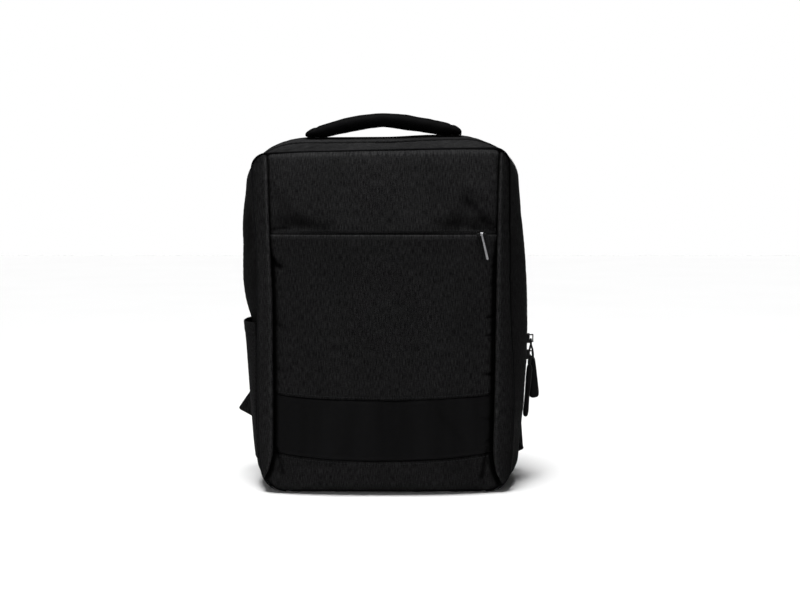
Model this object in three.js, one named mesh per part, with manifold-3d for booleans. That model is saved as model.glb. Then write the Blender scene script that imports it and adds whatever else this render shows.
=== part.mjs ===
// Laptop backpack, standing upright. Millimetres, +Z up, its face looks along -Y.
// The origin is the middle of the base, on the surface that the bag stands on.
import * as THREE from 'three';
import { LoftGeometry } from 'three/addons/geometries/LoftGeometry.js';
import { mergeGeometries, mergeVertices } from 'three/addons/utils/BufferGeometryUtils.js';
import Module from 'manifold-3d';

// Driving sizes of the body
const rearHeight = 396.5;
const zipDrop = 8;
const frontDrop = 21;
const frontHalfWidth = 140.5;
const zipHalfWidth = 161;
const rearHalfWidth = 152;
const frontSeamDepth = 39;
const frontSeamLean = 10;
const zipDepth = 10;
const rearSeamDepth = 58;
const frontCorner = 17;
const rearCornerWidth = 60;
const rearCornerHeight = 45;
const frontBaseCorner = 24;
const rearBaseCorner = 28;
const sideDentReach = 0.35;

// Cloth, seams and padding
const clothWall = 1.6;
const faceWall = 2;
const baseWall = 2.4;
const seamGap = 0.3;
const pipingRadius = 1.3;
const backPad = 9;
const backPadEdge = 3;

// The face: its bulge, its pocket mouth and the smooth band
const faceBulge = 30;
const mouthHeight = 285.5;
const mouthGap = 1.6;
const lipRise = 3;
const lipFade = 70;
const bandTop = 106;
const bandTopRise = 7;
const bandBase = 39;
const bandBaseRise = 11;
const wingTip = 1;
const zipTapeWall = 1.2;
const pocketTapeHeight = 13;
const pocketTapeEase = 0.8;
const seamTurn = 3;

// The main zip, and where it ends on the two sides
const zipWidth = 6;
const zipRecess = 0.8;
const zipEndLeft = 200;
const zipEndRight = 100;

// Side pocket on the left
const sidePocketTop = 187;
const sidePocketBase = 34;
const sidePocketFront = -30;
const sidePocketRear = 50;
const sidePocketEase = 7.2;
const sidePocketWall = 1.4;

// Handle on the top
const handleCentre = -1.5;
const handleHalfLength = 93;
const handleDepth = 42;
const handleWidth = 28;
const handleThick = 17;
const handleRise = 26.5;

// Shoulder straps, webbing, ladder locks and tabs
const strapWidth = 62;
const strapThick = 10;
const strapDrop = 18.5;
const strapSpread = 88;
const strapReach = 30;
const webbingWidth = 25;
const webbingThick = 1.6;
const lockWidth = 36;
const lockHeight = 26;
const lockThick = 4.5;
const lockBar = 4.5;
const lockCorner = 3;
const slotCorner = 0.8;
const slotBend = 1.6;
const loopReach = 14;
const tailLength = 30;
const tabThick = 2.4;
const tabTipHeight = 4;
const tabTipSlant = 1;
const tabSeatOut = 3;
const webbingSag = 2.6;

// Pulls: the pocket's stick, and the corded tabs of the main zip
const stickLength = 29;
const stickWidth = 2.4;
const stickThick = 1.8;
const stickTilt = 14;
const stickEye = 1.3;
const stickEyeWidth = 2.4;
const stickNeck = 1.6;
const bridgeRadius = 0.7;
const pocketSliderInset = 36;
const pocketSliderX = frontHalfWidth - pocketSliderInset;
const sliderWidth = 7;
const sliderLength = 11;
const sliderThick = 3.2;
const sliderPlate = 1.1;
const cordRadius = 1.1;
const cordGap = 0.5;
const cordLoopWidth = 6.4;
const cordLoopLength = 19;
const tabPullWidth = 12;
const tabPullThick = 6.5;
const tabPullLength = 50;

// Heights that follow from the rear seam's
const zipHeight = rearHeight - zipDrop;
const frontHeight = rearHeight - frontDrop;
const handleTop = rearHeight + handleRise;
const strapTop = rearHeight - strapDrop;

const mix = THREE.MathUtils.lerp;
const clamp = THREE.MathUtils.clamp;
const right = 1;
const left = -1;

// Side lines from base to top: half widths as shares of each ring's own half width.
const sideLines = [
  { at: 0.00, frontL: 0.950, frontR: 0.968, zipL: 0.895, zipR: 0.935, rearL: 0.930, rearR: 0.940 },
  { at: 0.14, frontL: 0.985, frontR: 1.003, zipL: 0.918, zipR: 0.963, rearL: 0.960, rearR: 0.970 },
  { at: 0.27, frontL: 0.992, frontR: 1.015, zipL: 0.925, zipR: 0.985, rearL: 0.980, rearR: 1.000 },
  { at: 0.39, frontL: 0.990, frontR: 1.005, zipL: 0.930, zipR: 1.000, rearL: 0.985, rearR: 1.010 },
  { at: 0.48, frontL: 0.988, frontR: 0.988, zipL: 0.936, zipR: 1.005, rearL: 0.990, rearR: 1.010 },
  { at: 0.56, frontL: 0.988, frontR: 0.982, zipL: 0.985, zipR: 1.004, rearL: 1.000, rearR: 1.000 },
  { at: 0.62, frontL: 0.988, frontR: 0.978, zipL: 1.000, zipR: 0.996, rearL: 1.000, rearR: 1.000 },
  { at: 0.76, frontL: 0.998, frontR: 0.973, zipL: 1.000, zipR: 0.964, rearL: 1.000, rearR: 0.975 },
  { at: 0.86, frontL: 1.018, frontR: 0.970, zipL: 0.976, zipR: 0.942, rearL: 0.975, rearR: 0.950 },
  { at: 1.00, frontL: 1.030, frontR: 0.963, zipL: 0.950, zipR: 0.922, rearL: 0.955, rearR: 0.925 },
];

// Top lines across the bag: heights as shares of each ring's own height.
const topLines = [
  { at: -1.00, front: 0.988, zip: 1.000, rear: 1.010 },
  { at: -0.60, front: 0.996, zip: 0.997, rear: 0.998 },
  { at: 0.00, front: 1.001, zip: 1.000, rear: 0.999 },
  { at: 0.40, front: 1.004, zip: 1.006, rear: 1.005 },
  { at: 1.00, front: 1.006, zip: 1.010, rear: 1.003 },
];

// The face from base to top: how far its middle and its two upright seams stand out, as
// shares of faceBulge, and where those seams run, as shares of frontHalfWidth.
const faceLines = [
  { at: 0.000, middle: 0.00, seams: 0.00, seamLeft: 0.97, seamRight: 0.95 },
  { at: 0.008, middle: 0.20, seams: 0.02, seamLeft: 0.968, seamRight: 0.94 },
  { at: 0.040, middle: 0.54, seams: 0.12, seamLeft: 0.945, seamRight: 0.905 },
  { at: 0.070, middle: 0.68, seams: 0.22, seamLeft: 0.910, seamRight: 0.875 },
  { at: 0.133, middle: 0.84, seams: 0.40, seamLeft: 0.876, seamRight: 0.855 },
  { at: 0.265, middle: 0.95, seams: 0.50, seamLeft: 0.870, seamRight: 0.862 },
  { at: 0.530, middle: 0.97, seams: 0.56, seamLeft: 0.869, seamRight: 0.870 },
  { at: 0.750, middle: 0.80, seams: 0.50, seamLeft: 0.890, seamRight: 0.878 },
  { at: 0.875, middle: 0.66, seams: 0.40, seamLeft: 0.900, seamRight: 0.885 },
  { at: 0.945, middle: 0.52, seams: 0.27, seamLeft: 0.908, seamRight: 0.892 },
  { at: 0.980, middle: 0.36, seams: 0.14, seamLeft: 0.915, seamRight: 0.897 },
  { at: 1.000, middle: 0.00, seams: 0.00, seamLeft: 0.920, seamRight: 0.900 },
];

// Soft dents in the face: place and size as shares of frontHalfWidth and frontHeight,
// depth as a share of faceBulge, and how far each leans over.
const faceDents = [
  { across: -0.70, up: 0.785, wide: 0.17, high: 0.014, deep: 0.10, lean: 0.00 },
  { across: 0.70, up: 0.785, wide: 0.17, high: 0.016, deep: 0.12, lean: 0.00 },
  { across: 0.70, up: 0.84, wide: 0.10, high: 0.030, deep: 0.08, lean: -0.16 },
  { across: -0.80, up: 0.68, wide: 0.05, high: 0.012, deep: 0.05, lean: 0.05 },
];

// Creases across the two sides: height and reach as shares of zipHeight, depth of
// zipHalfWidth. Each fades over sideDentReach of a ring to its front and its rear.
const sideDents = [
  { side: right, up: 0.785, high: 0.018, deep: 0.014, ring: 0.45 },
  { side: right, up: 0.625, high: 0.013, deep: 0.012, ring: 0.40 },
  { side: left, up: 0.71, high: 0.020, deep: 0.010, ring: 0.45 },
];

// The handle from end to end: its top and its thickness as shares of its rise and of
// handleThick, its width as a share of handleWidth.
const handleLine = [
  { at: -1.00, rise: 0.18, thick: 0.34, wide: 0.80 },
  { at: -0.92, rise: 0.36, thick: 0.60, wide: 0.92 },
  { at: -0.67, rise: 0.63, thick: 1.02, wide: 1.00 },
  { at: -0.45, rise: 0.83, thick: 1.04, wide: 1.00 },
  { at: 0.00, rise: 1.00, thick: 1.00, wide: 1.00 },
  { at: 0.45, rise: 0.83, thick: 1.06, wide: 1.00 },
  { at: 0.77, rise: 0.58, thick: 1.00, wide: 1.00 },
  { at: 0.93, rise: 0.40, thick: 0.62, wide: 0.92 },
  { at: 1.00, rise: 0.12, thick: 0.34, wide: 0.80 },
];

// A shoulder strap from its top end to its buckle: out as a share of strapSpread, behind as
// a share of strapReach, down as a share of strapTop, width and thickness of its own sizes.
const strapLine = [
  { at: 0.00, out: 0.46, behind: 0.00, up: 1.000, wide: 0.90, thick: 0.60 },
  { at: 0.12, out: 0.47, behind: 0.06, up: 0.920, wide: 0.98, thick: 1.00 },
  { at: 0.30, out: 0.51, behind: 0.50, up: 0.800, wide: 1.00, thick: 1.00 },
  { at: 0.50, out: 0.60, behind: 0.88, up: 0.665, wide: 1.00, thick: 1.00 },
  { at: 0.70, out: 0.74, behind: 1.00, up: 0.530, wide: 0.95, thick: 1.00 },
  { at: 0.88, out: 0.90, behind: 0.90, up: 0.420, wide: 0.80, thick: 0.95 },
  { at: 1.00, out: 1.00, behind: 0.78, up: 0.365, wide: 0.58, thick: 0.60 },
];

// The tabs that hold the webbing: the stretch of the seam they are sewn into, their upper
// shoulder and their tip, as shares of rearHalfWidth and rearHeight.
const strapTabs = [
  {
    name: 'left', side: left, low: 0.148, high: 0.275,
    shoulderOut: 1.066, shoulderUp: 0.240, tipOut: 1.150, tipUp: 0.192,
  },
  {
    name: 'right', side: right, low: 0.042, high: 0.215,
    shoulderOut: 1.062, shoulderUp: 0.160, tipOut: 1.085, tipUp: 0.070,
  },
];

// The two sliders parked on the right of the main zip: height as a share of zipHeight, the
// cord's drop and the tab's length of their own sizes, and how far the tab's top stands from
// the slider and its foot from its top, outwards and backwards, as shares of tabPullWidth.
const zipPulls = [
  {
    name: 'upper', up: 0.425, cord: 0.90, long: 0.98, edgeOn: false,
    topOut: 0.12, topBack: 0.63, footOut: 0.33, footBack: 0.10,
  },
  {
    name: 'lower', up: 0.377, cord: 0.34, long: 1.21, edgeOn: true,
    topOut: -0.06, topBack: -0.25, footOut: -0.40, footBack: -0.20,
  },
];

// Reads a column of a table between its rows, on a smooth curve that never overshoots them.
function read(table, column, at) {
  const last = table.length - 1;
  const place = clamp(at, table[0].at, table[last].at);
  let row = 0;
  while (row < last - 1 && table[row + 1].at < place) row += 1;
  const slope = (i) => (table[i + 1][column] - table[i][column]) / (table[i + 1].at - table[i].at);
  const tangent = (i) => {
    if (i === 0) return slope(0);
    if (i === last) return slope(last - 1);
    const product = slope(i - 1) * slope(i);
    return product > 0 ? 2 * product / (slope(i - 1) + slope(i)) : 0;
  };
  const span = table[row + 1].at - table[row].at;
  const t = (place - table[row].at) / span;
  const rise = table[row + 1][column] - table[row][column];
  const bend = t * (1 - t) * (tangent(row) * span * (1 - t) - tangent(row + 1) * span * t);
  return table[row][column] + rise * t * t * (3 - 2 * t) + bend;
}

// A soft bump that is 1 at its middle and fades over its reach.
function fade(distance, reach) {
  return Math.exp(-((distance / reach) ** 2));
}

// The body's rings lie one behind the other: 0 the front seam, 1 the main zip, 2 the rear seam.
const rings = [
  { name: 'front', height: frontHeight, halfWidth: frontHalfWidth },
  { name: 'zip', height: zipHeight, halfWidth: zipHalfWidth },
  { name: 'rear', height: rearHeight, halfWidth: rearHalfWidth },
];

function betweenRings(ring, front, zip, rear) {
  if (ring <= 1) return mix(front, zip, Math.sin(ring * Math.PI / 2));
  return mix(zip, rear, 1 - Math.cos((ring - 1) * Math.PI / 2));
}

function halfWidth(side, up, ring) {
  const column = side === left ? 'L' : 'R';
  const widths = rings.map((r) => r.halfWidth * read(sideLines, r.name + column, up));
  let dent = 0;
  for (const d of sideDents.filter((row) => row.side === side)) {
    dent += d.deep * zipHalfWidth * fade(up - d.up, d.high) * fade(ring - d.ring, sideDentReach);
  }
  return betweenRings(ring, ...widths) - dent;
}

function topHeight(across, ring) {
  const heights = rings.map((r) => r.height * read(topLines, r.name, across));
  if (ring <= 1) return mix(heights[0], heights[1], ring);
  return mix(heights[1], heights[2], ring - 1);
}

// A ring runs in seven stretches of one each: base corner, side, top corner, top, top corner,
// side, base corner, from the left of the base round to its right.
const ringEnd = 7;

function ringPoint(along, ring) {
  const half = ringEnd / 2;
  if (along > half) return mirroredPoint(ringEnd - along, ring, right);
  return mirroredPoint(along, ring, left);
}

function mirroredPoint(along, ring, side) {
  const height = topHeight(side, ring);
  const width = halfWidth(side, 1, ring);
  const baseCorner = betweenRings(ring, frontBaseCorner, rearBaseCorner, rearBaseCorner);
  const cornerX = betweenRings(ring, frontCorner, rearCornerWidth, rearCornerWidth) / width;
  const cornerZ = betweenRings(ring, frontCorner, rearCornerHeight, rearCornerHeight) / height;
  const baseX = baseCorner / halfWidth(side, 0, ring);
  const baseZ = baseCorner / height;
  const turn = (along % 1) * Math.PI / 2;
  let across = 1;
  let up = mix(baseZ, 1 - cornerZ, along - 1);
  if (along < 1) {
    across = 1 - baseX + baseX * Math.sin(turn);
    up = baseZ * (1 - Math.cos(turn));
  } else if (along >= 3) {
    across = mix(1 - cornerX, 0, (along - 3) * 2);
    up = 1;
  } else if (along >= 2) {
    across = 1 - cornerX + cornerX * Math.cos(turn);
    up = 1 - cornerZ + cornerZ * Math.sin(turn);
  }
  return new THREE.Vector2(
    side * across * halfWidth(side, up, ring),
    up * topHeight(side * across, ring),
  );
}

// The direction in the ring's plane that points into the bag.
function ringInward(along, ring) {
  const step = 0.02;
  const before = ringPoint(Math.max(0, along - step), ring);
  const after = ringPoint(Math.min(ringEnd, along + step), ring);
  return new THREE.Vector2(after.y - before.y, before.x - after.x).normalize();
}

// Where the front seam lies in depth at a height, and the depth of a place between the rings.
function seamDepth(up) {
  return frontSeamLean * (up / frontHeight - 0.5) - frontSeamDepth;
}

function ringDepth(ring, up) {
  const front = seamDepth(up) + faceWall + seamGap;
  if (ring <= 1) return mix(front, zipDepth, ring);
  return mix(zipDepth, rearSeamDepth, ring - 1);
}

function ringAtDepth(depth, up) {
  const front = seamDepth(up) + faceWall + seamGap;
  if (depth < zipDepth) return Math.max((depth - front) / (zipDepth - front), 0);
  return Math.min(1 + (depth - zipDepth) / (rearSeamDepth - zipDepth), 2);
}

function bodyPoint(along, ring, inset) {
  const flat = ringPoint(along, ring).addScaledVector(ringInward(along, ring), inset);
  return new THREE.Vector3(flat.x, ringDepth(ring, flat.y), flat.y);
}

// How far the ring reaches to a side at a height, found along the ring itself.
function reachAt(side, height, ring) {
  let low = 0;
  let high = 3;
  for (let pass = 0; pass < 24; pass += 1) {
    const middle = (low + high) / 2;
    if (mirroredPoint(middle, ring, side).y < height) low = middle;
    else high = middle;
  }
  return Math.abs(mirroredPoint(low, ring, side).x);
}

// The height of a ring's top line at a place across it, its corners included.
function topAt(x, ring) {
  const side = x < 0 ? left : right;
  let low = 2;
  let high = ringEnd / 2;
  for (let pass = 0; pass < 24; pass += 1) {
    const middle = (low + high) / 2;
    if (Math.abs(mirroredPoint(middle, ring, side).x) > Math.abs(x)) low = middle;
    else high = middle;
  }
  return mirroredPoint(low, ring, side).y;
}

// The upright seams of the face lie inside the ring, and on it near the corners.
function seamLine(side, height) {
  const column = side === left ? 'seamLeft' : 'seamRight';
  return frontHalfWidth * read(faceLines, column, height / frontHeight);
}

function faceSeam(side, height) {
  return Math.min(seamLine(side, height), reachAt(side, height, 0));
}

// The depth of the face's outer surface at a place, without the pocket's lip.
function faceDepth(x, height) {
  const side = x < 0 ? left : right;
  const reach = reachAt(side, height, 0);
  const seam = faceSeam(side, height);
  const up = clamp(height / topAt(x, 0), 0, 1);
  const seams = read(faceLines, 'seams', up);
  let stand = 0;
  if (Math.abs(x) <= seam) {
    stand = mix(read(faceLines, 'middle', up), seams, (Math.abs(x) / seam) ** 3);
    for (const d of faceDents) {
      const across = x / frontHalfWidth - d.across;
      const over = up - d.up - d.lean * across;
      stand -= d.deep * fade(across, d.wide) * fade(over, d.high);
    }
  } else {
    const share = (Math.abs(x) - seam) / Math.max(reach - seam, 0.5);
    stand = seams * Math.cos(clamp(share, 0, 1) * Math.PI / 2);
  }
  return seamDepth(height) - faceBulge * Math.max(stand, 0);
}

// The lip of the pocket stands proud just below its mouth and fades downwards and sideways.
function pocketDepth(x, height) {
  const seam = faceSeam(x < 0 ? left : right, height);
  const across = 1 - (Math.abs(x) / seam) ** 4;
  const down = clamp(1 - (mouthHeight - height) / lipFade, 0, 1);
  return faceDepth(x, height) - lipRise * Math.max(across, 0) * down * down;
}

// Closes a sheet of cloth between rows of outer points and rows of inner points.
function sheet(outer, inner) {
  const sections = outer.map((row, i) => [...row, ...[...inner[i]].reverse()]);
  const last = outer.length - 1;
  const wall = new LoftGeometry(sections, { closed: true });
  const start = new LoftGeometry([inner[0], outer[0]], { closed: false });
  const end = new LoftGeometry([outer[last], inner[last]], { closed: false });
  return facingOut(mergeGeometries([wall, start, end]));
}

// Turns a closed surface right side out, by the sign of the volume that it holds.
function facingOut(geometry) {
  const place = geometry.getAttribute('position');
  const corners = geometry.index.array;
  const [a, b, c] = [new THREE.Vector3(), new THREE.Vector3(), new THREE.Vector3()];
  let volume = 0;
  for (let i = 0; i < corners.length; i += 3) {
    a.fromBufferAttribute(place, corners[i]);
    b.fromBufferAttribute(place, corners[i + 1]);
    c.fromBufferAttribute(place, corners[i + 2]);
    volume += a.dot(b.cross(c));
  }
  if (volume > 0) return geometry;
  for (let i = 0; i < corners.length; i += 3) {
    [corners[i + 1], corners[i + 2]] = [corners[i + 2], corners[i + 1]];
  }
  return geometry;
}

// Places from 0 to 1 for a count of steps, and a stretch of them.
function shares(count, from = 0, to = 1) {
  return Array.from({ length: count + 1 }, (_, i) => mix(from, to, i / count));
}

function colour(hex, roughness, metalness = 0) {
  return new THREE.MeshStandardMaterial({ color: hex, roughness, metalness });
}

const heather = () => colour(0x1b1b1c, 0.95);
const smoothCloth = () => colour(0x101012, 0.6);
const webbingCloth = () => colour(0x131314, 0.85);
const darkPlastic = () => colour(0x0d0d0e, 0.5);
const greyMetal = () => colour(0x5a5a5c, 0.35, 1);
const darkRubber = () => colour(0x121213, 0.75);

const bag = new THREE.Group();
bag.name = 'laptop_backpack';

function add(name, geometry, material) {
  const mesh = new THREE.Mesh(geometry, material);
  mesh.name = name;
  bag.add(mesh);
  return mesh;
}

// The seams that run across the face.
const baseLine = () => 0;
const bandBaseLine = (x) => bandBase + bandBaseRise * (x / frontHalfWidth) ** 2;
const bandTopLine = (x) => bandTop + bandTopRise * (x / frontHalfWidth) ** 2;
const lipLine = () => mouthHeight - mouthGap / 2;
const weltLine = () => mouthHeight + mouthGap / 2;
const faceTopLine = (x) => topAt(x, 0);

// A panel of the face between two seams across it and the two upright seams. Where a row
// meets an upright seam is found in a few passes, because its height bends across the face.
function facePanel(low, high, lowGap, highGap, steps, depthAt) {
  const edge = (side, share) => {
    let x = side * seamLine(side, mouthHeight);
    for (let pass = 0; pass < 6; pass += 1) {
      const height = mix(low(x) + lowGap, high(x) - highGap, share);
      x = side * (faceSeam(side, height) - seamGap / 2);
    }
    return x;
  };
  const outer = [];
  const inner = [];
  for (const share of steps.up) {
    const from = edge(left, share);
    const to = edge(right, share);
    const row = steps.across.map((across) => {
      const x = mix(from, to, across);
      const height = mix(low(x) + lowGap, high(x) - highGap, share);
      return new THREE.Vector3(x, depthAt(x, height), height);
    });
    outer.push(row);
    inner.push(row.map((p) => new THREE.Vector3(p.x, p.y + faceWall, p.z)));
  }
  return sheet(outer, inner);
}

const acrossFace = [0, 0.03, 0.09, 0.18, 0.3, 0.43, 0.57, 0.7, 0.82, 0.91, 0.97, 1];

function makeFace() {
  const half = seamGap / 2;
  const lower = { up: [0, 0.08, 0.2, 0.35, 0.52, 0.75, 1], across: acrossFace };
  const band = { up: shares(4), across: acrossFace };
  const pocket = { up: shares(9), across: acrossFace };
  const upper = { up: [0, 0.06, 0.15, 0.3, 0.48, 0.66, 0.8, 0.9, 0.96, 1], across: acrossFace };
  add('front_lower_panel', facePanel(baseLine, bandBaseLine, 0, half, lower, faceDepth), heather());
  add('front_band', facePanel(bandBaseLine, bandTopLine, half, half, band, faceDepth), smoothCloth());
  add('front_pocket_panel', facePanel(bandTopLine, lipLine, half, 0, pocket, pocketDepth), heather());
  add('front_upper_panel', facePanel(weltLine, faceTopLine, 0, 0, upper, faceDepth), heather());
}

// A wing is the strip of the face between an upright seam and the ring beside it. It starts
// and ends where it is still as wide as wingTip.
function wingEnd(side, from, to) {
  let narrow = from;
  let wide = to;
  for (let pass = 0; pass < 24; pass += 1) {
    const middle = (narrow + wide) / 2;
    if (reachAt(side, middle, 0) - seamLine(side, middle) < wingTip) narrow = middle;
    else wide = middle;
  }
  return wide;
}

function wing(side) {
  const outer = [];
  const inner = [];
  const top = wingEnd(side, topHeight(side, 0), frontHeight / 2);
  const foot = wingEnd(side, 0, frontHeight / 2);
  for (const share of shares(16)) {
    const height = mix(foot, top, (1 - Math.cos(share * Math.PI)) / 2);
    const to = reachAt(side, height, 0);
    const from = seamLine(side, height) + seamGap;
    const row = [0, 0.2, 0.45, 0.75, 1].map((across) => {
      const x = side * mix(from, to, across);
      return new THREE.Vector3(x, faceDepth(x, height), height);
    });
    outer.push(row);
    inner.push(row.map((p) => new THREE.Vector3(p.x, p.y + faceWall, p.z)));
  }
  return sheet(outer, inner);
}

// The zip tape behind the pocket's mouth, from one upright seam to the other.
function pocketTapeDepth(x, height) {
  return faceDepth(x, height) + faceWall + pocketTapeEase;
}

function pocketZip() {
  const low = mouthHeight - pocketTapeHeight / 2;
  const high = mouthHeight + pocketTapeHeight / 2;
  const outer = [];
  const inner = [];
  for (const height of shares(4, low, high)) {
    const row = acrossFace.map((across) => {
      const x = mix(-seamLine(left, height) + seamTurn, seamLine(right, height) - seamTurn, across);
      return new THREE.Vector3(x, pocketTapeDepth(x, height), height);
    });
    outer.push(row);
    inner.push(row.map((p) => new THREE.Vector3(p.x, p.y + zipTapeWall, p.z)));
  }
  return sheet(outer, inner);
}

// Places along a ring with more steps in its corners.
const ringSteps = [
  ...shares(4, 0, 1),
  ...shares(11, 1, 2).slice(1),
  ...shares(6, 2, 3).slice(1),
  ...shares(8, 3, 4).slice(1),
  ...shares(6, 4, 5).slice(1),
  ...shares(11, 5, 6).slice(1),
  ...shares(4, 6, 7).slice(1),
];

// Where the zip ends, in steps of the ring: half the zip's width is left open above there.
function zipOpen(height, along) {
  const end = along < ringEnd / 2 ? zipEndLeft : zipEndRight;
  return height > end ? zipWidth / 2 + seamGap / 2 : seamGap / 2;
}

// A strip of the body from one ring to another, open by a share of depth at its zip edge.
function gusset(fromRing, toRing, openAtStart, openAtEnd) {
  const outer = [];
  const inner = [];
  for (const along of ringSteps) {
    const { y: height } = ringPoint(along, 1);
    const open = zipOpen(height, along);
    const start = openAtStart ? ringAtDepth(zipDepth + open, height) : fromRing;
    const end = openAtEnd ? ringAtDepth(zipDepth - open, height) : toRing;
    const places = [0, 0.2, 0.45, 0.72, 1].map((share) => mix(start, end, share));
    outer.push(places.map((ring) => bodyPoint(along, ring, 0)));
    inner.push(places.map((ring) => bodyPoint(along, ring, clothWall)));
  }
  return sheet(outer, inner);
}

function mainZip() {
  const zipHalf = zipWidth / 2 - seamGap / 2;
  const outer = [];
  const inner = [];
  for (const along of ringSteps) {
    const height = ringPoint(along, 1).y;
    const end = along < ringEnd / 2 ? zipEndLeft : zipEndRight;
    if (height <= end) continue;
    const edges = [-zipHalf, zipHalf];
    const rowAt = (inset) => edges.map((offset) => {
      const point = bodyPoint(along, 1, inset);
      point.y = zipDepth + offset;
      return point;
    });
    outer.push(rowAt(zipRecess));
    inner.push(rowAt(zipRecess + zipTapeWall));
  }
  return sheet(outer, inner);
}

function basePanel() {
  const outer = [];
  const inner = [];
  for (const share of shares(8)) {
    const ringsAcross = [0, 0.25, 0.6, 1, 1.4, 1.75, 2];
    const row = ringsAcross.map((ring) => {
      const from = ringPoint(0, ring).x + seamGap;
      const to = ringPoint(ringEnd, ring).x - seamGap;
      const back = ring === 2 ? seamGap : 0;
      return new THREE.Vector3(mix(from, to, share), ringDepth(ring, 0) - back, 0);
    });
    outer.push(row);
    inner.push(row.map((p) => new THREE.Vector3(p.x, p.y, baseWall)));
  }
  return sheet(outer, inner);
}

// The padded back: flat inside, crowned outside and thinner round its edge.
function backDepth(across, up) {
  const crown = (1 - Math.abs(2 * across - 1) ** 4) * (1 - Math.abs(2 * up - 1) ** 6);
  return rearSeamDepth + backPadEdge + (backPad - backPadEdge) * crown;
}

function backPanel() {
  const outer = [];
  const inner = [];
  const [topLeft, topRight] = [ringPoint(3, 2), ringPoint(ringEnd - 3, 2)];
  const alongs = [0, 0.35, 0.7, 1, 1.06, 1.2, 1.4, 1.6, 1.8, 1.94, 2, 2.25, 2.5, 2.75, 3];
  for (const along of alongs) {
    const [from, to] = [ringPoint(along, 2), ringPoint(ringEnd - along, 2)];
    const row = [0, 0.04, 0.13, 0.3, 0.5, 0.7, 0.87, 0.96, 1].map((across) => {
      const flat = from.clone().lerp(to, across);
      const top = mix(topLeft.y, topRight.y, clamp((flat.x - topLeft.x) / (topRight.x - topLeft.x), 0, 1));
      const up = flat.y / top;
      const lift = (topAt(clamp(flat.x, topLeft.x, topRight.x), 2) - top) * up ** 6;
      return new THREE.Vector3(flat.x, backDepth(across, Math.min(up, 1)), flat.y + lift);
    });
    outer.push(row);
    inner.push(row.map((p) => new THREE.Vector3(p.x, rearSeamDepth + seamGap, p.z)));
  }
  return sheet(outer, inner);
}

// A tube that runs round the front seam, outside the ring.
function edgePiping() {
  const sections = [];
  const start = 0.5;
  for (const along of ringSteps) {
    if (along < start || along > ringEnd - start) continue;
    const inward = ringInward(along, 0);
    const flat = ringPoint(along, 0).addScaledVector(inward, -(pipingRadius + 1.5 * seamGap));
    const centre = new THREE.Vector3(flat.x, seamDepth(flat.y) + faceWall / 2, flat.y);
    const out = new THREE.Vector3(-inward.x, 0, -inward.y);
    sections.push(ringSection(centre, out, new THREE.Vector3(0, 1, 0), pipingRadius, 6));
  }
  return loft(sections);
}

function ringSection(centre, x, y, radius, count) {
  return Array.from({ length: count }, (_, i) => {
    const turn = (i + 0.5) / count * Math.PI * 2;
    return centre.clone()
      .addScaledVector(x, radius * Math.cos(turn))
      .addScaledVector(y, radius * Math.sin(turn));
  });
}

// The side pocket lies on the left side and stands off it towards its mouth.
function pocketStand(depth, height) {
  const middle = (sidePocketFront + sidePocketRear) / 2;
  const across = 1 - Math.abs((depth - middle) / (sidePocketRear - middle)) ** 3;
  const up = clamp((height - sidePocketBase) / (sidePocketTop - sidePocketBase), 0, 1);
  return 2 * seamGap + sidePocketEase * Math.max(across, 0) * up;
}

function sidePoint(side, depth, height, stand) {
  const reach = reachAt(side, height, ringAtDepth(depth, height));
  return new THREE.Vector3(side * (reach + stand), depth, height);
}

function sidePocket() {
  const outer = [];
  const inner = [];
  for (const share of [0, 0.2, 0.4, 0.6, 0.8, 0.93, 1]) {
    const height = mix(sidePocketBase, sidePocketTop, share);
    const depths = shares(8, sidePocketFront, sidePocketRear);
    const rowAt = (wall) => depths.map((depth) => (
      sidePoint(left, depth, height, pocketStand(depth, height) + wall)
    ));
    outer.push(rowAt(sidePocketWall));
    inner.push(rowAt(0));
  }
  return sheet(outer, inner);
}

// Lofts closed sections, with the outside facing out, and closes both ends.
function loft(sections) {
  const [first, next] = sections;
  const normal = new THREE.Vector3();
  first.forEach((point, i) => normal.add(point.clone().cross(first[(i + 1) % first.length])));
  const ahead = normal.dot(next[0].clone().sub(first[0])) > 0;
  const rows = ahead ? sections : sections.map((row) => [...row].reverse());
  return new LoftGeometry(rows, { closed: true, capStart: true, capEnd: true });
}

// A closed section of a padded piece: an oval with flattened sides.
function ovalSection(centre, wideWay, thickWay, width, thick, count) {
  return Array.from({ length: count }, (_, i) => {
    const turn = (i + 0.5) / count * Math.PI * 2;
    const flat = (value) => Math.sign(value) * Math.abs(value) ** 0.7;
    return centre.clone()
      .addScaledVector(wideWay, width / 2 * flat(Math.cos(turn)))
      .addScaledVector(thickWay, thick / 2 * flat(Math.sin(turn)));
  });
}

function topHandle() {
  const sections = [];
  const fall = topHeight(0, 2) - topHeight(0, 1);
  const depthWay = new THREE.Vector3(0, rearSeamDepth - zipDepth, fall).normalize();
  const upWay = new THREE.Vector3(0, -depthWay.z, depthWay.y);
  const ring = ringAtDepth(handleDepth, rearHeight);
  for (const step of shares(16, -1, 1)) {
    const at = Math.sin(step * Math.PI / 2);
    const x = handleCentre + at * handleHalfLength;
    const width = handleWidth * read(handleLine, 'wide', at);
    const seat = topAt(x, ring) + seamGap;
    const top = mix(seat, handleTop, read(handleLine, 'rise', at));
    const thick = Math.min(handleThick * read(handleLine, 'thick', at), top - seat);
    const centre = new THREE.Vector3(x, handleDepth, top - thick / 2);
    sections.push(ovalSection(centre, depthWay, upWay, width, thick, 10));
  }
  return loft(sections);
}

// The middle line of a shoulder strap.
function strapPoint(side, at) {
  const x = side * strapSpread * read(strapLine, 'out', at);
  const height = strapTop * read(strapLine, 'up', at);
  const seat = backPad + rearSeamDepth + seamGap + strapThick / 2;
  return new THREE.Vector3(x, seat + strapReach * read(strapLine, 'behind', at), height);
}

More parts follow.
